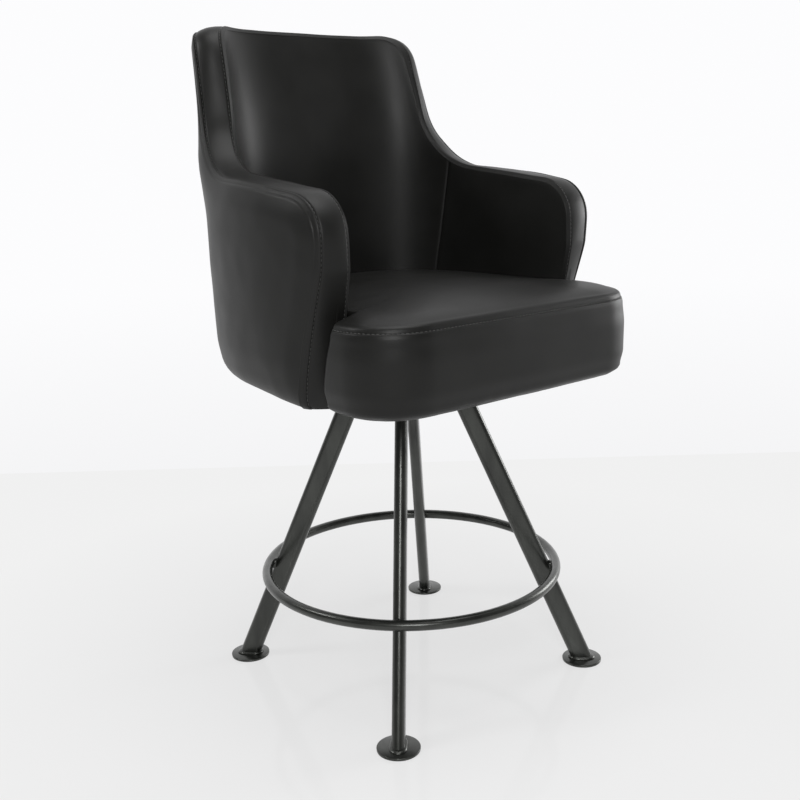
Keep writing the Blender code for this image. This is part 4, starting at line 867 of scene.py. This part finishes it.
def make_back_panel():
    """Padded panel on the inside of the back, gently crowned towards the sitter."""
    span = TUB_LENGTH - PANEL_SEAM_TOP_STATION - TOUCH_GAP
    low_span = TUB_LENGTH - PANEL_SEAM_BOTTOM_STATION - TOUCH_GAP
    steps = list(PAD_BORDER_STEPS)
    steps += spread(steps[-1], span, round((span - steps[-1]) / COLUMN_STEP))[1:]
    columns = []
    for side, step in both_sides(steps):
        head = TUB_LENGTH - span + step
        foot = TUB_LENGTH - low_span + step * low_span / span
        crown = BACK_PAD_CROWN * smooth_share(step / span)
        columns.append(panel_column(side, head, foot, step + TOUCH_GAP, crown))
    return bent_grid("inside_back_padded", columns)


def make_arm_panel(name, side):
    """Padded panel on the inside of one arm."""
    last = PANEL_SEAM_TOP_STATION - TOUCH_GAP
    last_foot = PANEL_SEAM_BOTTOM_STATION - TOUCH_GAP
    steps = [PAD_SEAM_INSET + step for step in PAD_BORDER_STEPS]
    count = round((last - 2 * steps[-1]) / COLUMN_STEP)
    steps += spread(steps[-1], last - PAD_BORDER_STEPS[-1], count)[1:]
    steps += [last - step for step in reversed(PAD_BORDER_STEPS[:-1])]
    columns = []
    for head in steps:
        foot = head * last_foot / last
        border = min(head, last - head + TOUCH_GAP)
        crown = ARM_PAD_CROWN * smooth_share(head / ARM_PAD_CROWN_REACH)
        crown *= smooth_share((last - head) / ARM_PAD_CROWN_REACH)
        columns.append(panel_column(side, head, foot, border, crown))
    return bent_grid(name, columns)


# Seat cushion

FACE_TABLE = ((0.0, -1.0), (0.035, -0.40), (0.12, 0.15), (0.34, 0.95), (0.70, 1.0), (1.0, 0.50))
SEAM_GROWTH = FACE_TABLE[-1][1] * SEAT_BULGE
SEAT_WING_FALL = 0.095
SEAT_FRONT_STEPS = 28
SEAT_FRONT_CORNER_STEPS = 24
SEAT_WING_CORNER_STEPS = 6
SEAT_STEP_CORNER_STEPS = 5
SEAT_STEP_EASE = 0.0040
SEAT_STITCH_MARGIN = 0.0040
SEAT_REAR_STEP = 0.0065


def seat_outline(growth, fit_growth, height):
    """Half of the cushion's plan, from its front's middle to its back's. Its wings reach back low down."""
    side = SEAT_HALF_WIDTH + growth
    front = SEAT_FRONT_Y - growth
    rear = SEAT_WING_REAR_Y + growth
    rear += SEAT_WING_REACH * smooth_share((SEAT_SEAM_HEIGHT - height) / SEAT_WING_FALL)
    stem = LOW_HALF_WIDTH - SEAT_FIT + fit_growth
    rear_radius = max(SEAT_LEAST_RADIUS, SEAT_WING_CORNER_RADIUS + growth)
    front_radius = min(SEAT_FRONT_CORNER_RADIUS + growth, rear - front - rear_radius - SEAT_LEAST_RADIUS)
    straight = side - front_radius
    half = [(across, front) for across in spread(0.0, straight, SEAT_FRONT_STEPS)[:-1]]
    half += [(side, front, front_radius, SEAT_FRONT_CORNER_STEPS)]
    half += [(side, rear, rear_radius, SEAT_WING_CORNER_STEPS)]
    half += [(stem, rear, SEAT_STEP_RADIUS, SEAT_STEP_CORNER_STEPS)]
    half += [(stem, rear + 2 * SEAT_STEP_RADIUS)]
    path = rounded_path(half)
    for point in path:
        point.y += SEAT_FRONT_BOW * (point.x / side) ** 2 * (rear - point.y) / (rear - front)
    behind = [point.y > (front + rear) / 2 for point in path]
    shares = [smooth_share((side - point.x) / (side - stem)) * back for point, back in zip(path, behind)]
    upper = smooth_share((height - LOW_PLAN_HEIGHT) / PLAN_CHANGE_REACH)
    start = SEAT_WING_CORNER_RADIUS + SEAT_STEP_RADIUS + SEAT_WING_REACH + SEAT_STEP_EASE
    for station in spread(start, TUB_LENGTH, round((TUB_LENGTH - start) / SEAT_REAR_STEP)):
        low = plan_point(LOW_PLAN, station, fit_growth - SEAT_FIT)
        path.append(low.lerp(plan_point(PLAN, station, fit_growth - SEAT_FIT), upper))
        shares.append(1.0)
    return path, shares


def seat_ring(growth, fit_growth, front_height, rear_height):
    """One closed loop of the cushion."""
    path, shares = seat_outline(growth, fit_growth, front_height or SEAT_BOTTOM)
    half = [
        Vector((point.x, point.y, front_height + (rear_height - front_height) * share))
        for point, share in zip(path, shares)
    ]
    return half + [Vector((-point.x, point.y, point.z)) for point in half[-2:0:-1]]


def seam_ring(growth, offset):
    """The loop at a small height over the seam, or under it."""
    return seat_ring(growth, min(0.0, growth), SEAT_SEAM_HEIGHT + offset, SEAT_REAR_SEAM_HEIGHT + offset)


SEAM_OFFSETS = (
    -0.011, -0.0085, -0.0066, -0.0054, -0.0046, -0.0040, -0.0034, -0.0028, -0.0022, -0.0015, -0.0007, 0.0,
)
CROWN_OFFSETS = (0.0007, 0.0015, 0.0025, 0.0038, 0.0055, 0.0077, 0.0105, 0.014, 0.018, 0.024)
CROWN_STEPS = 30
SEAT_CROWN_POWER = 0.72
SEAM_RISE_REACH = 0.25
CROWN_ROLL = 0.0012
CROWN_ROLL_OFFSET = 0.010
CROWN_ROLL_WIDTH = 0.007
FACE_STEPS = 22
FACE_STEP_POWER = 1.25
EVEN_REACH = 45
PUCKER_HEIGHT = 0.004
PUCKER_REACH = 0.010
PUCKERED_RINGS = range(2, 26)


def shoulder_point(point):
    """Where the way from a point of the seam to the crown's middle bends, so that it stays on the cushion."""
    if point.y < SEAT_WING_REAR_Y:
        share = (point.y - SEAT_FRONT_Y) / (SEAT_WING_REAR_Y - SEAT_FRONT_Y)
        pull = CROWN_FRONT_SHARE + (CROWN_WAIST_SHARE - CROWN_FRONT_SHARE) * share
    else:
        share = (point.y - SEAT_WING_REAR_Y) / (TUB_BACK_Y - SEAT_WING_REAR_Y)
        pull = CROWN_WAIST_SHARE + (CROWN_REAR_SHARE - CROWN_WAIST_SHARE) * share
    return Vector((point.x * CROWN_WIDTH_SHARE, point.y + pull * (TUB_BACK_Y - SEAT_FRONT_Y)))


def crown_reach(point):
    """Length of the way from a point of the seam to the crown's middle."""
    bend = shoulder_point(point)
    return (bend - point.to_2d()).length + (Vector((0.0, SEAT_POLE_Y)) - bend).length


def seat_crown_point(outer, offset, even_height):
    """A point of the crown at a distance in from the seam, on the curved way to the crown's middle."""
    bend, pole = shoulder_point(outer), Vector((0.0, SEAT_POLE_Y))
    share = min(1.0, offset / crown_reach(outer))
    spot = outer.to_2d() * (1 - share) ** 2 + bend * 2 * share * (1 - share) + pole * share ** 2
    base = outer.z + (even_height - outer.z) * smooth_share(share / SEAM_RISE_REACH)
    rise = (SEAT_TOP_HEIGHT - base) * (1 - (1 - share) ** 2) ** SEAT_CROWN_POWER
    roll = CROWN_ROLL * bump(offset - CROWN_ROLL_OFFSET, CROWN_ROLL_WIDTH)
    sewing = -SEAM_VALLEY * bump(offset, SEAM_VALLEY_WIDTH)
    uneven = ripple("crown", spot.to_3d()) * smooth_share(offset / RIPPLE_EASE)
    return Vector((spot.x, spot.y, base + rise + roll + sewing + uneven))


def even_heights(ring):
    """The seam's heights evened out along it, which the crown takes up away from the seam."""
    heights = [point.z for point in ring]
    near = range(-EVEN_REACH, EVEN_REACH + 1)
    count = len(heights)
    return [sum(heights[(index + step) % count] for step in near) / len(near) for index in range(count)]


def seat_face_rings():
    """Loops of the front face, sides and rear from the lower edge up to the seam."""
    rings = []
    low = SEAT_BOTTOM
    front_face = SEAT_SEAM_HEIGHT + SEAM_OFFSETS[0] - low
    rear_face = SEAT_REAR_SEAM_HEIGHT + SEAM_OFFSETS[0] - low
    for share in [step ** FACE_STEP_POWER for step in spread(0.0, 1.0, FACE_STEPS)]:
        bulge = table_value(FACE_TABLE, share)
        growth = bulge * (SEAT_BULGE if bulge > 0 else SEAT_LOWER_INSET)
        rings.append(seat_ring(growth, 0.0, low + front_face * share, low + rear_face * share))
    for offset in SEAM_OFFSETS[1:]:
        growth = SEAM_GROWTH * offset / SEAM_OFFSETS[0]
        growth -= SEAM_VALLEY * bump(offset, SEAM_VALLEY_WIDTH)
        growth -= STITCH_DIP * bump(offset + SEAT_STITCH_INSET, STITCH_DIP_WIDTH)
        rings.append(seam_ring(growth, offset))
    return rings


def make_seat():
    """Seat cushion: lip, rounded lower edge, full faces, top-stitched seam and crown."""
    lip = -SEAT_LOWER_INSET - SEAT_LIP
    rings = [seat_ring(lip, -SEAT_LIP, height, height) for height in (SEAT_LIP_TOP, SEAT_BOTTOM)]
    rings += seat_face_rings()
    seam = seam_ring(0.0, 0.0)
    even = even_heights(seam)
    for offset in CROWN_OFFSETS:
        rings.append([seat_crown_point(point, offset, height) for point, height in zip(seam, even)])
    for share in spread(0.0, 1.0, CROWN_STEPS)[1:]:
        ring = []
        for point, height in zip(seam, even):
            offset = CROWN_OFFSETS[-1] + (crown_reach(point) - CROWN_OFFSETS[-1]) * share
            ring.append(seat_crown_point(point, offset, height))
        rings.append(ring)
    form = bmesh.new()
    around, up = len(seam), len(rings) - 1
    bmesh.ops.create_grid(form, x_segments=around, y_segments=up, size=1.0)
    for vert in form.verts:
        column = round((vert.co.x + 1) / 2 * around) % around
        row = round((vert.co.y + 1) / 2 * up)
        spot = rings[row][column].copy()
        if row in PUCKERED_RINGS:
            pucker = ripple("pucker", spot.to_2d().to_3d())
            pucker *= bump(spot.z - SEAT_BOTTOM - PUCKER_HEIGHT, PUCKER_REACH)
            spot += spot.to_2d().normalized().to_3d() * (ripple("face", spot) - max(0.0, pucker))
        vert.co = spot
    return finish_form(form, "seat_cushion_sewn")


def dust_outline(gap):
    """Outline of the dust cloth against the inside of the cushion's lip."""
    lip = SEAT_LIP + gap
    return [point.to_2d() for point in seat_ring(-lip - SEAT_LOWER_INSET, -lip, 0.0, 0.0)]


def dust_window():
    """Half the width of the square window round the swivel's plate."""
    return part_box("swivel_upper_plate")[1].x + DUST_WINDOW_MARGIN


def make_dust_sheet():
    """Thin cloth stretched under the seat board round the swivel's plate, with a little sag."""
    half = dust_window()
    fixings = [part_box(name) for name in nodes if name.startswith("bracket")]
    columns = []
    for spot in dust_outline(TOUCH_GAP):
        window = spot * half / max(abs(spot.x), abs(spot.y))
        column = []
        for step in range(DUST_STEPS + 1):
            place = spot.lerp(window, step / DUST_STEPS)
            sag = DUST_SAG * math.sin(math.pi * step / DUST_STEPS)
            for low, high in fixings:
                aside = max(low.x - place.x, 0.0, place.x - high.x)
                along = max(low.y - place.y, 0.0, place.y - high.y)
                sag *= smooth_share((math.hypot(aside, along) - DUST_FIXING_MARGIN) / DUST_FIXING_REACH)
            sag *= 1 + ripple("dust_cloth", place.to_3d())
            column.append(Vector((place.x, place.y, SEAT_BOTTOM - sag)))
        column += [point + Vector((0.0, 0.0, DUST_THICKNESS)) for point in reversed(column)]
        columns.append(column)
    columns.append(columns[0])
    return bent_grid("dust_cloth_stretched", columns)


# Stitches


def make_stitches(name, line, outward):
    """A row of stitches: short rounds of thread that dip into the vinyl at their ends."""
    form = bmesh.new()
    lengths = run_lengths(line)
    count = int(lengths[-1] / STITCH_PITCH)
    sized = Matrix.Diagonal((STITCH_LENGTH / 2, THREAD_RADIUS, THREAD_RADIUS, 1.0))
    sized = sized @ Matrix.Rotation(math.pi / 2, 4, "Y")
    for index in range(count):
        place, share = place_on(lengths, (index + 0.5) * lengths[-1] / count)
        spot = line[place - 1].lerp(line[place], share)
        run = (line[place] - line[place - 1]).normalized()
        lift = outward[place - 1].lerp(outward[place], share).normalized()
        cross = run.cross(lift).normalized()
        lift = cross.cross(run)
        turn = Matrix((run, cross, lift)).transposed().to_4x4()
        shift = Matrix.Translation(spot + lift * THREAD_RADIUS * THREAD_LIFT_SHARE)
        bmesh.ops.create_uvsphere(form, u_segments=6, v_segments=5, radius=1.0, matrix=shift @ turn @ sized)
    return finish_form(form, name, fill_ends=False)


def band_stitch_line(inset, from_outer):
    """Where a row of stitches runs along the band, and which way is out of it."""
    line, outward = [], []
    for side, index in both_sides(range(1, len(EDGE))):
        width = outer_width(EDGE[index].x, EDGE[index].y, EDGE[index].y)
        share = 1 - inset / width if from_outer else inset / width
        top = band_point(side, index, share)
        line.append(top)
        outward.append((top - band_point(side, index, share, NORMAL_PROBE)).normalized())
    return line, outward


def seat_stitch_line(offset):
    """Where a row of stitches runs just below the seat's seam."""
    seam = seam_ring(0.0, 0.0)
    line = seam_ring(SEAM_GROWTH * offset / SEAM_OFFSETS[0] - STITCH_DIP, offset)
    outward = [Vector((point.x, point.y, 0.0)).normalized() for point in seam]
    last = next(index for index, point in enumerate(seam) if point.y > SEAT_WING_REAR_Y - SEAT_STITCH_MARGIN)
    order = range(-last, last + 1)
    return [line[index] for index in order], [outward[index] for index in order]


# Base


def leg_section(growth, height, steps=LEG_NOSE_STEPS):
    """Level section of a leg that stands along +X."""
    nose = LEG_NARROW / 2 + growth
    flat = (LEG_BROAD - LEG_NARROW) / 2
    radius = LEG_FOOT_RADIUS - LEG_SLOPE * (height - LEG_FOOT)
    loop = []
    for end, start in ((1, -math.pi / 2), (-1, math.pi / 2)):
        for step in range(steps + 1):
            turn = start + math.pi * step / steps
            across = (end * flat + nose * math.cos(turn)) / math.cos(LEG_TILT)
            loop.append(Vector((radius + across, nose * math.sin(turn), height)))
    return loop


def turned_form(sections, name, degrees):
    """A closed form through level sections, turned to its place round the swivel's axis."""
    spin = Matrix.Rotation(math.radians(degrees), 3, "Z")
    return bent_grid(name, [[spin @ point for point in section] for section in sections])


def make_leg(place, degrees):
    """Oval tube from its foot disc to the base plate."""
    sections = [leg_section(0.0, height) for height in spread(LEG_FOOT, LEG_TOP, LEG_ROWS)]
    return turned_form(sections, f"leg_tube_{place}", degrees)


def make_foot_weld(place, degrees):
    """Rippled bead of weld where a leg stands on its disc."""
    base = DISC_THICKNESS + TOUCH_GAP
    sections = []
    for growth, rise in FOOT_WELD_PROFILE:
        section = leg_section(growth, base + rise, WELD_NOSE_STEPS)
        for index, point in enumerate(section):
            if rise and growth > WELD_EVEN_GROWTH:
                point.z += WELD_RIPPLE * math.cos(index * WELD_RIPPLE_TURN)
        sections.append(section)
    return turned_form(sections, f"foot_bead_{place}", degrees)


def spun(name, profile, degrees=0, centre_x=0.0):
    """A round piece spun from its profile of (radius, height)."""
    form = bmesh.new()
    verts = [form.verts.new((radius, 0.0, height)) for radius, height in profile]
    edges = [form.edges.new(pair) for pair in zip(verts, verts[1:] + verts[:1])]
    middle, upright = (0, 0, 0), (0, 0, 1)
    bmesh.ops.spin(
        form, geom=verts + edges, cent=middle, axis=upright,
        angle=2 * math.pi, steps=SPIN_STEPS, use_merge=True,
    )
    bmesh.ops.translate(form, verts=form.verts, vec=(centre_x, 0.0, 0.0))
    turn = Matrix.Rotation(math.radians(degrees), 3, "Z")
    bmesh.ops.rotate(form, verts=form.verts, cent=middle, matrix=turn)
    return finish_form(form, name, fill_ends=False)


def make_disc(place, degrees):
    """Flat foot disc with eased edges."""
    rim = DISC_RADIUS - DISC_EDGE
    profile = [(0.0, 0.0), (rim, 0.0)]
    for turn in spread(0.0, math.pi, DISC_EDGE_STEPS):
        height = DISC_EDGE if turn < math.pi / 2 else DISC_THICKNESS - DISC_EDGE
        profile.append((rim + DISC_EDGE * math.sin(turn), height - DISC_EDGE * math.cos(turn)))
    profile += [(rim, DISC_THICKNESS), (0.0, DISC_THICKNESS)]
    return spun(f"foot_plate_{place}", profile, degrees, LEG_FOOT_RADIUS)


def ring_radius():
    """Radius of the footrest ring against the legs' outer noses."""
    at_ring = LEG_FOOT_RADIUS - LEG_SLOPE * (RING_HEIGHT - LEG_FOOT)
    return at_ring + (LEG_BROAD / 2 + RING_BAR_RADIUS + TOUCH_GAP) / math.cos(LEG_TILT)


def make_ring():
    """Round bar footrest ring."""
    radius, bar = ring_radius(), RING_BAR_RADIUS
    turns = spread(0.0, 2 * math.pi, RING_BAR_STEPS)[:-1]
    profile = [(radius + bar * math.cos(turn), RING_HEIGHT + bar * math.sin(turn)) for turn in turns]
    return spun("footrest_ring_bar", profile)


def make_ring_weld(place, degrees):
    """Weld in the corners between the ring and a leg."""
    form = bmesh.new()
    bmesh.ops.create_uvsphere(form, u_segments=32, v_segments=18, radius=1.0)
    bmesh.ops.scale(form, verts=form.verts, vec=RING_WELD_SIZE)
    for vert in form.verts:
        vert.co += vert.co.normalized() * RING_WELD_RIPPLE * math.sin(vert.co.z * RING_WELD_RIPPLE_RATE)
    touch = Vector((math.cos(LEG_TILT), 0.0, math.sin(LEG_TILT))) * RING_BAR_RADIUS
    middle = Vector((ring_radius(), 0.0, RING_HEIGHT)) - touch
    lean = Matrix.Translation(middle) @ Matrix.Rotation(-LEG_TILT, 4, "Y")
    spin = Matrix.Rotation(math.radians(degrees), 4, "Z")
    bmesh.ops.transform(form, verts=form.verts, matrix=spin @ lean)
    return finish_form(form, f"ring_bead_{place}")


# The stool

dressed(make_seat(), "seat", "vinyl", "seat_cover", "seat_foam")
dust = dressed(make_dust_sheet(), "seat", "dust_cloth", "dust_cover")
cut_line = dust_outline(0.0)
dressed(make_tub_frame(), "seat", "plywood", "tub_frame")
dressed(make_edge_band(), "seat", "vinyl", "edge_band")
dressed(make_outer_cover(), "seat", "vinyl", "outer_cover")
dressed(make_back_panel(), "seat", "vinyl", "inside_back_panel")
for side, place in ((-1, "right"), (1, "left")):
    pad = make_arm_panel(f"arm_padded_{place}", side)
    dressed(pad, "seat", "vinyl", f"arm_panel_{place}")
for name, line in (
    ("stitches_outer_seam", band_stitch_line(OUTER_STITCH_INSET, True)),
    ("stitches_inner_seam", band_stitch_line(INNER_STITCH_INSET, False)),
    ("stitches_seat_front", seat_stitch_line(-SEAT_STITCH_INSET)),
):
    dressed(make_stitches(name, *line), "seat", "vinyl", material=THREAD)
CORNER_MAKERS = (
    ("leg", make_leg), ("foot_weld", make_foot_weld), ("foot_disc", make_disc), ("ring_weld", make_ring_weld),
)
for place, degrees in CORNERS.items():
    for node_name, make in CORNER_MAKERS:
        dressed(make(place, degrees), "base", "painted_steel", f"{node_name}_{place}")
dressed(make_ring(), "base", "painted_steel", "footrest_ring")


# Camera, floor and lights

CAMERA_TURN = 39.86
CAMERA_PLACE = (-1.0194, -1.2210, 0.8202)
CAMERA_YAW, CAMERA_PITCH, CAMERA_ROLL = -0.377, 13.287, -1.689
FOCAL_LENGTH = 1028.6 / 800.0
SENSOR_WIDTH = 36.0
FLOOR_END = 1.13
FLOOR_SIZE = 14.0
WHITE = (1.0, 1.0, 1.0, 1.0)


def make_camera():
    """The camera at the photograph's angle."""
    yaw, pitch, roll = (math.radians(angle) for angle in (CAMERA_YAW, CAMERA_PITCH, CAMERA_ROLL))
    view = Vector((math.sin(yaw) * math.cos(pitch), math.cos(yaw) * math.cos(pitch), -math.sin(pitch)))
    right = Vector((math.cos(yaw), -math.sin(yaw), 0.0))
    up = right.cross(view)
    turned_right = right * math.cos(roll) + up * math.sin(roll)
    turned_up = up * math.cos(roll) - right * math.sin(roll)
    stand = Matrix.Rotation(-math.radians(CAMERA_TURN), 3, "Z")
    axes = Matrix((stand @ turned_right, stand @ turned_up, stand @ -view)).transposed().to_4x4()
    data = bpy.data.cameras.new("camera")
    data.sensor_width = SENSOR_WIDTH
    data.lens = FOCAL_LENGTH * SENSOR_WIDTH
    data.clip_end = 60.0
    camera = bpy.data.objects.new("camera", data)
    camera.matrix_world = Matrix.Translation(CAMERA_PLACE) @ axes
    bpy.context.scene.collection.objects.link(camera)
    bpy.context.scene.camera = camera


def make_floor():
    """Pale, faintly glossy floor that keeps the shadow and fades into the white behind."""
    form = bmesh.new()
    bmesh.ops.create_grid(form, x_segments=2, y_segments=2, size=FLOOR_SIZE)
    bmesh.ops.translate(form, verts=form.verts, vec=(0.0, FLOOR_END - FLOOR_SIZE, 0.0))
    turn = Matrix.Rotation(-math.radians(CAMERA_TURN), 3, "Z")
    bmesh.ops.rotate(form, verts=form.verts, cent=(0, 0, 0), matrix=turn)
    mesh = bpy.data.meshes.new("floor")
    form.to_mesh(mesh)
    form.free()
    floor = bpy.data.objects.new("floor", mesh)
    bpy.context.scene.collection.objects.link(floor)
    pale = (0.78, 0.78, 0.785, 1.0)
    material, shader = new_material("pale_floor", Base_Color=pale, Roughness=0.10, Specular_IOR_Level=0.40)
    glow = add_node(material, "ShaderNodeEmission", Color=WHITE, Strength=0.875)
    place = add_node(material, "ShaderNodeTexCoord")
    length = add_node(material, "ShaderNodeVectorMath", operation="LENGTH")
    join(material, place, "Object", length, 0)
    mixed = add_node(material, "ShaderNodeMixShader")
    graded(material, length, mixed, "Fac", 0.68, 1.0, "Value", 0.30, 0.95)
    join(material, shader, 0, mixed, 1)
    join(material, glow, 0, mixed, 2)
    join(material, mixed, 0, material.node_tree.nodes["Material Output"], "Surface")
    mesh.materials.append(material)


def make_world():
    """White behind the object, and a plain even light on it."""
    world = bpy.data.worlds.new("white_room")
    world.use_nodes = True
    world.node_tree.nodes.clear()
    light = add_node(world, "ShaderNodeBackground", Color=WHITE, Strength=0.30)
    seen = add_node(world, "ShaderNodeBackground", Color=(0.975, 0.975, 0.985, 1.0))
    path = add_node(world, "ShaderNodeLightPath")
    aim = add_node(world, "ShaderNodeTexCoord")
    ahead = add_node(world, "ShaderNodeVectorMath", operation="DOT_PRODUCT")
    turn = math.radians(CAMERA_TURN)
    ahead.inputs[1].default_value = (math.sin(turn), math.cos(turn), 0.0)
    join(world, aim, "Generated", ahead, 0)
    split = add_node(world, "ShaderNodeSeparateXYZ")
    join(world, aim, "Generated", split, 0)
    around = add_node(world, "ShaderNodeMath", operation="MAXIMUM")
    graded(world, ahead, around, 0, 0.12, 1.0, "Value", 0.0, 0.7)
    join(world, path, "Is Camera Ray", around, 1)
    strength = add_node(world, "ShaderNodeMath", operation="MULTIPLY")
    join(world, around, 0, strength, 0)
    graded(world, split, strength, 1, 0.92, 1.0, "Z", -0.30, -0.12)
    join(world, strength, 0, seen, "Strength")
    shown, output = path, "Is Camera Ray"
    for ray in ("Is Glossy Ray", "Is Transmission Ray"):
        either = add_node(world, "ShaderNodeMath", operation="MAXIMUM")
        join(world, shown, output, either, 0)
        join(world, path, ray, either, 1)
        shown, output = either, 0
    mix = add_node(world, "ShaderNodeMixShader")
    join(world, shown, output, mix, 0)
    join(world, light, 0, mix, 1)
    join(world, seen, 0, mix, 2)
    join(world, mix, 0, add_node(world, "ShaderNodeOutputWorld"), "Surface")
    bpy.context.scene.world = world


def make_light(name, place, aim, size, size_y, power):
    """A soft rectangular lamp aimed at a spot."""
    data = bpy.data.lights.new(name, "AREA")
    data.shape = "RECTANGLE"
    data.size, data.size_y, data.energy = size, size_y, power
    lamp = bpy.data.objects.new(name, data)
    run = Vector(aim) - Vector(place)
    lamp.matrix_world = Matrix.Translation(place) @ run.to_track_quat("-Z", "Y").to_matrix().to_4x4()
    bpy.context.scene.collection.objects.link(lamp)


make_camera()
make_floor()
make_world()
# Each lamp's place and aim, its width and height, and its watts
make_light("softbox_left", (-1.9, -2.4, 1.9), (0.0, 0.0, 0.8), 0.9, 1.2, 42.0)
make_light("softbox_rear", (-2.1, 1.3, 2.4), (0.0, 0.0, 0.8), 0.7, 0.7, 20.0)
make_light("softbox_right", (2.9, -0.7, 1.0), (0.0, 0.0, 0.5), 1.3, 1.1, 34.0)
make_light("softbox_top", (0.0, -0.3, 2.8), (0.0, 0.0, 0.5), 1.5, 1.5, 26.0)

bpy.context.scene.view_settings.view_transform = "Standard"
bpy.context.view_layer.update()
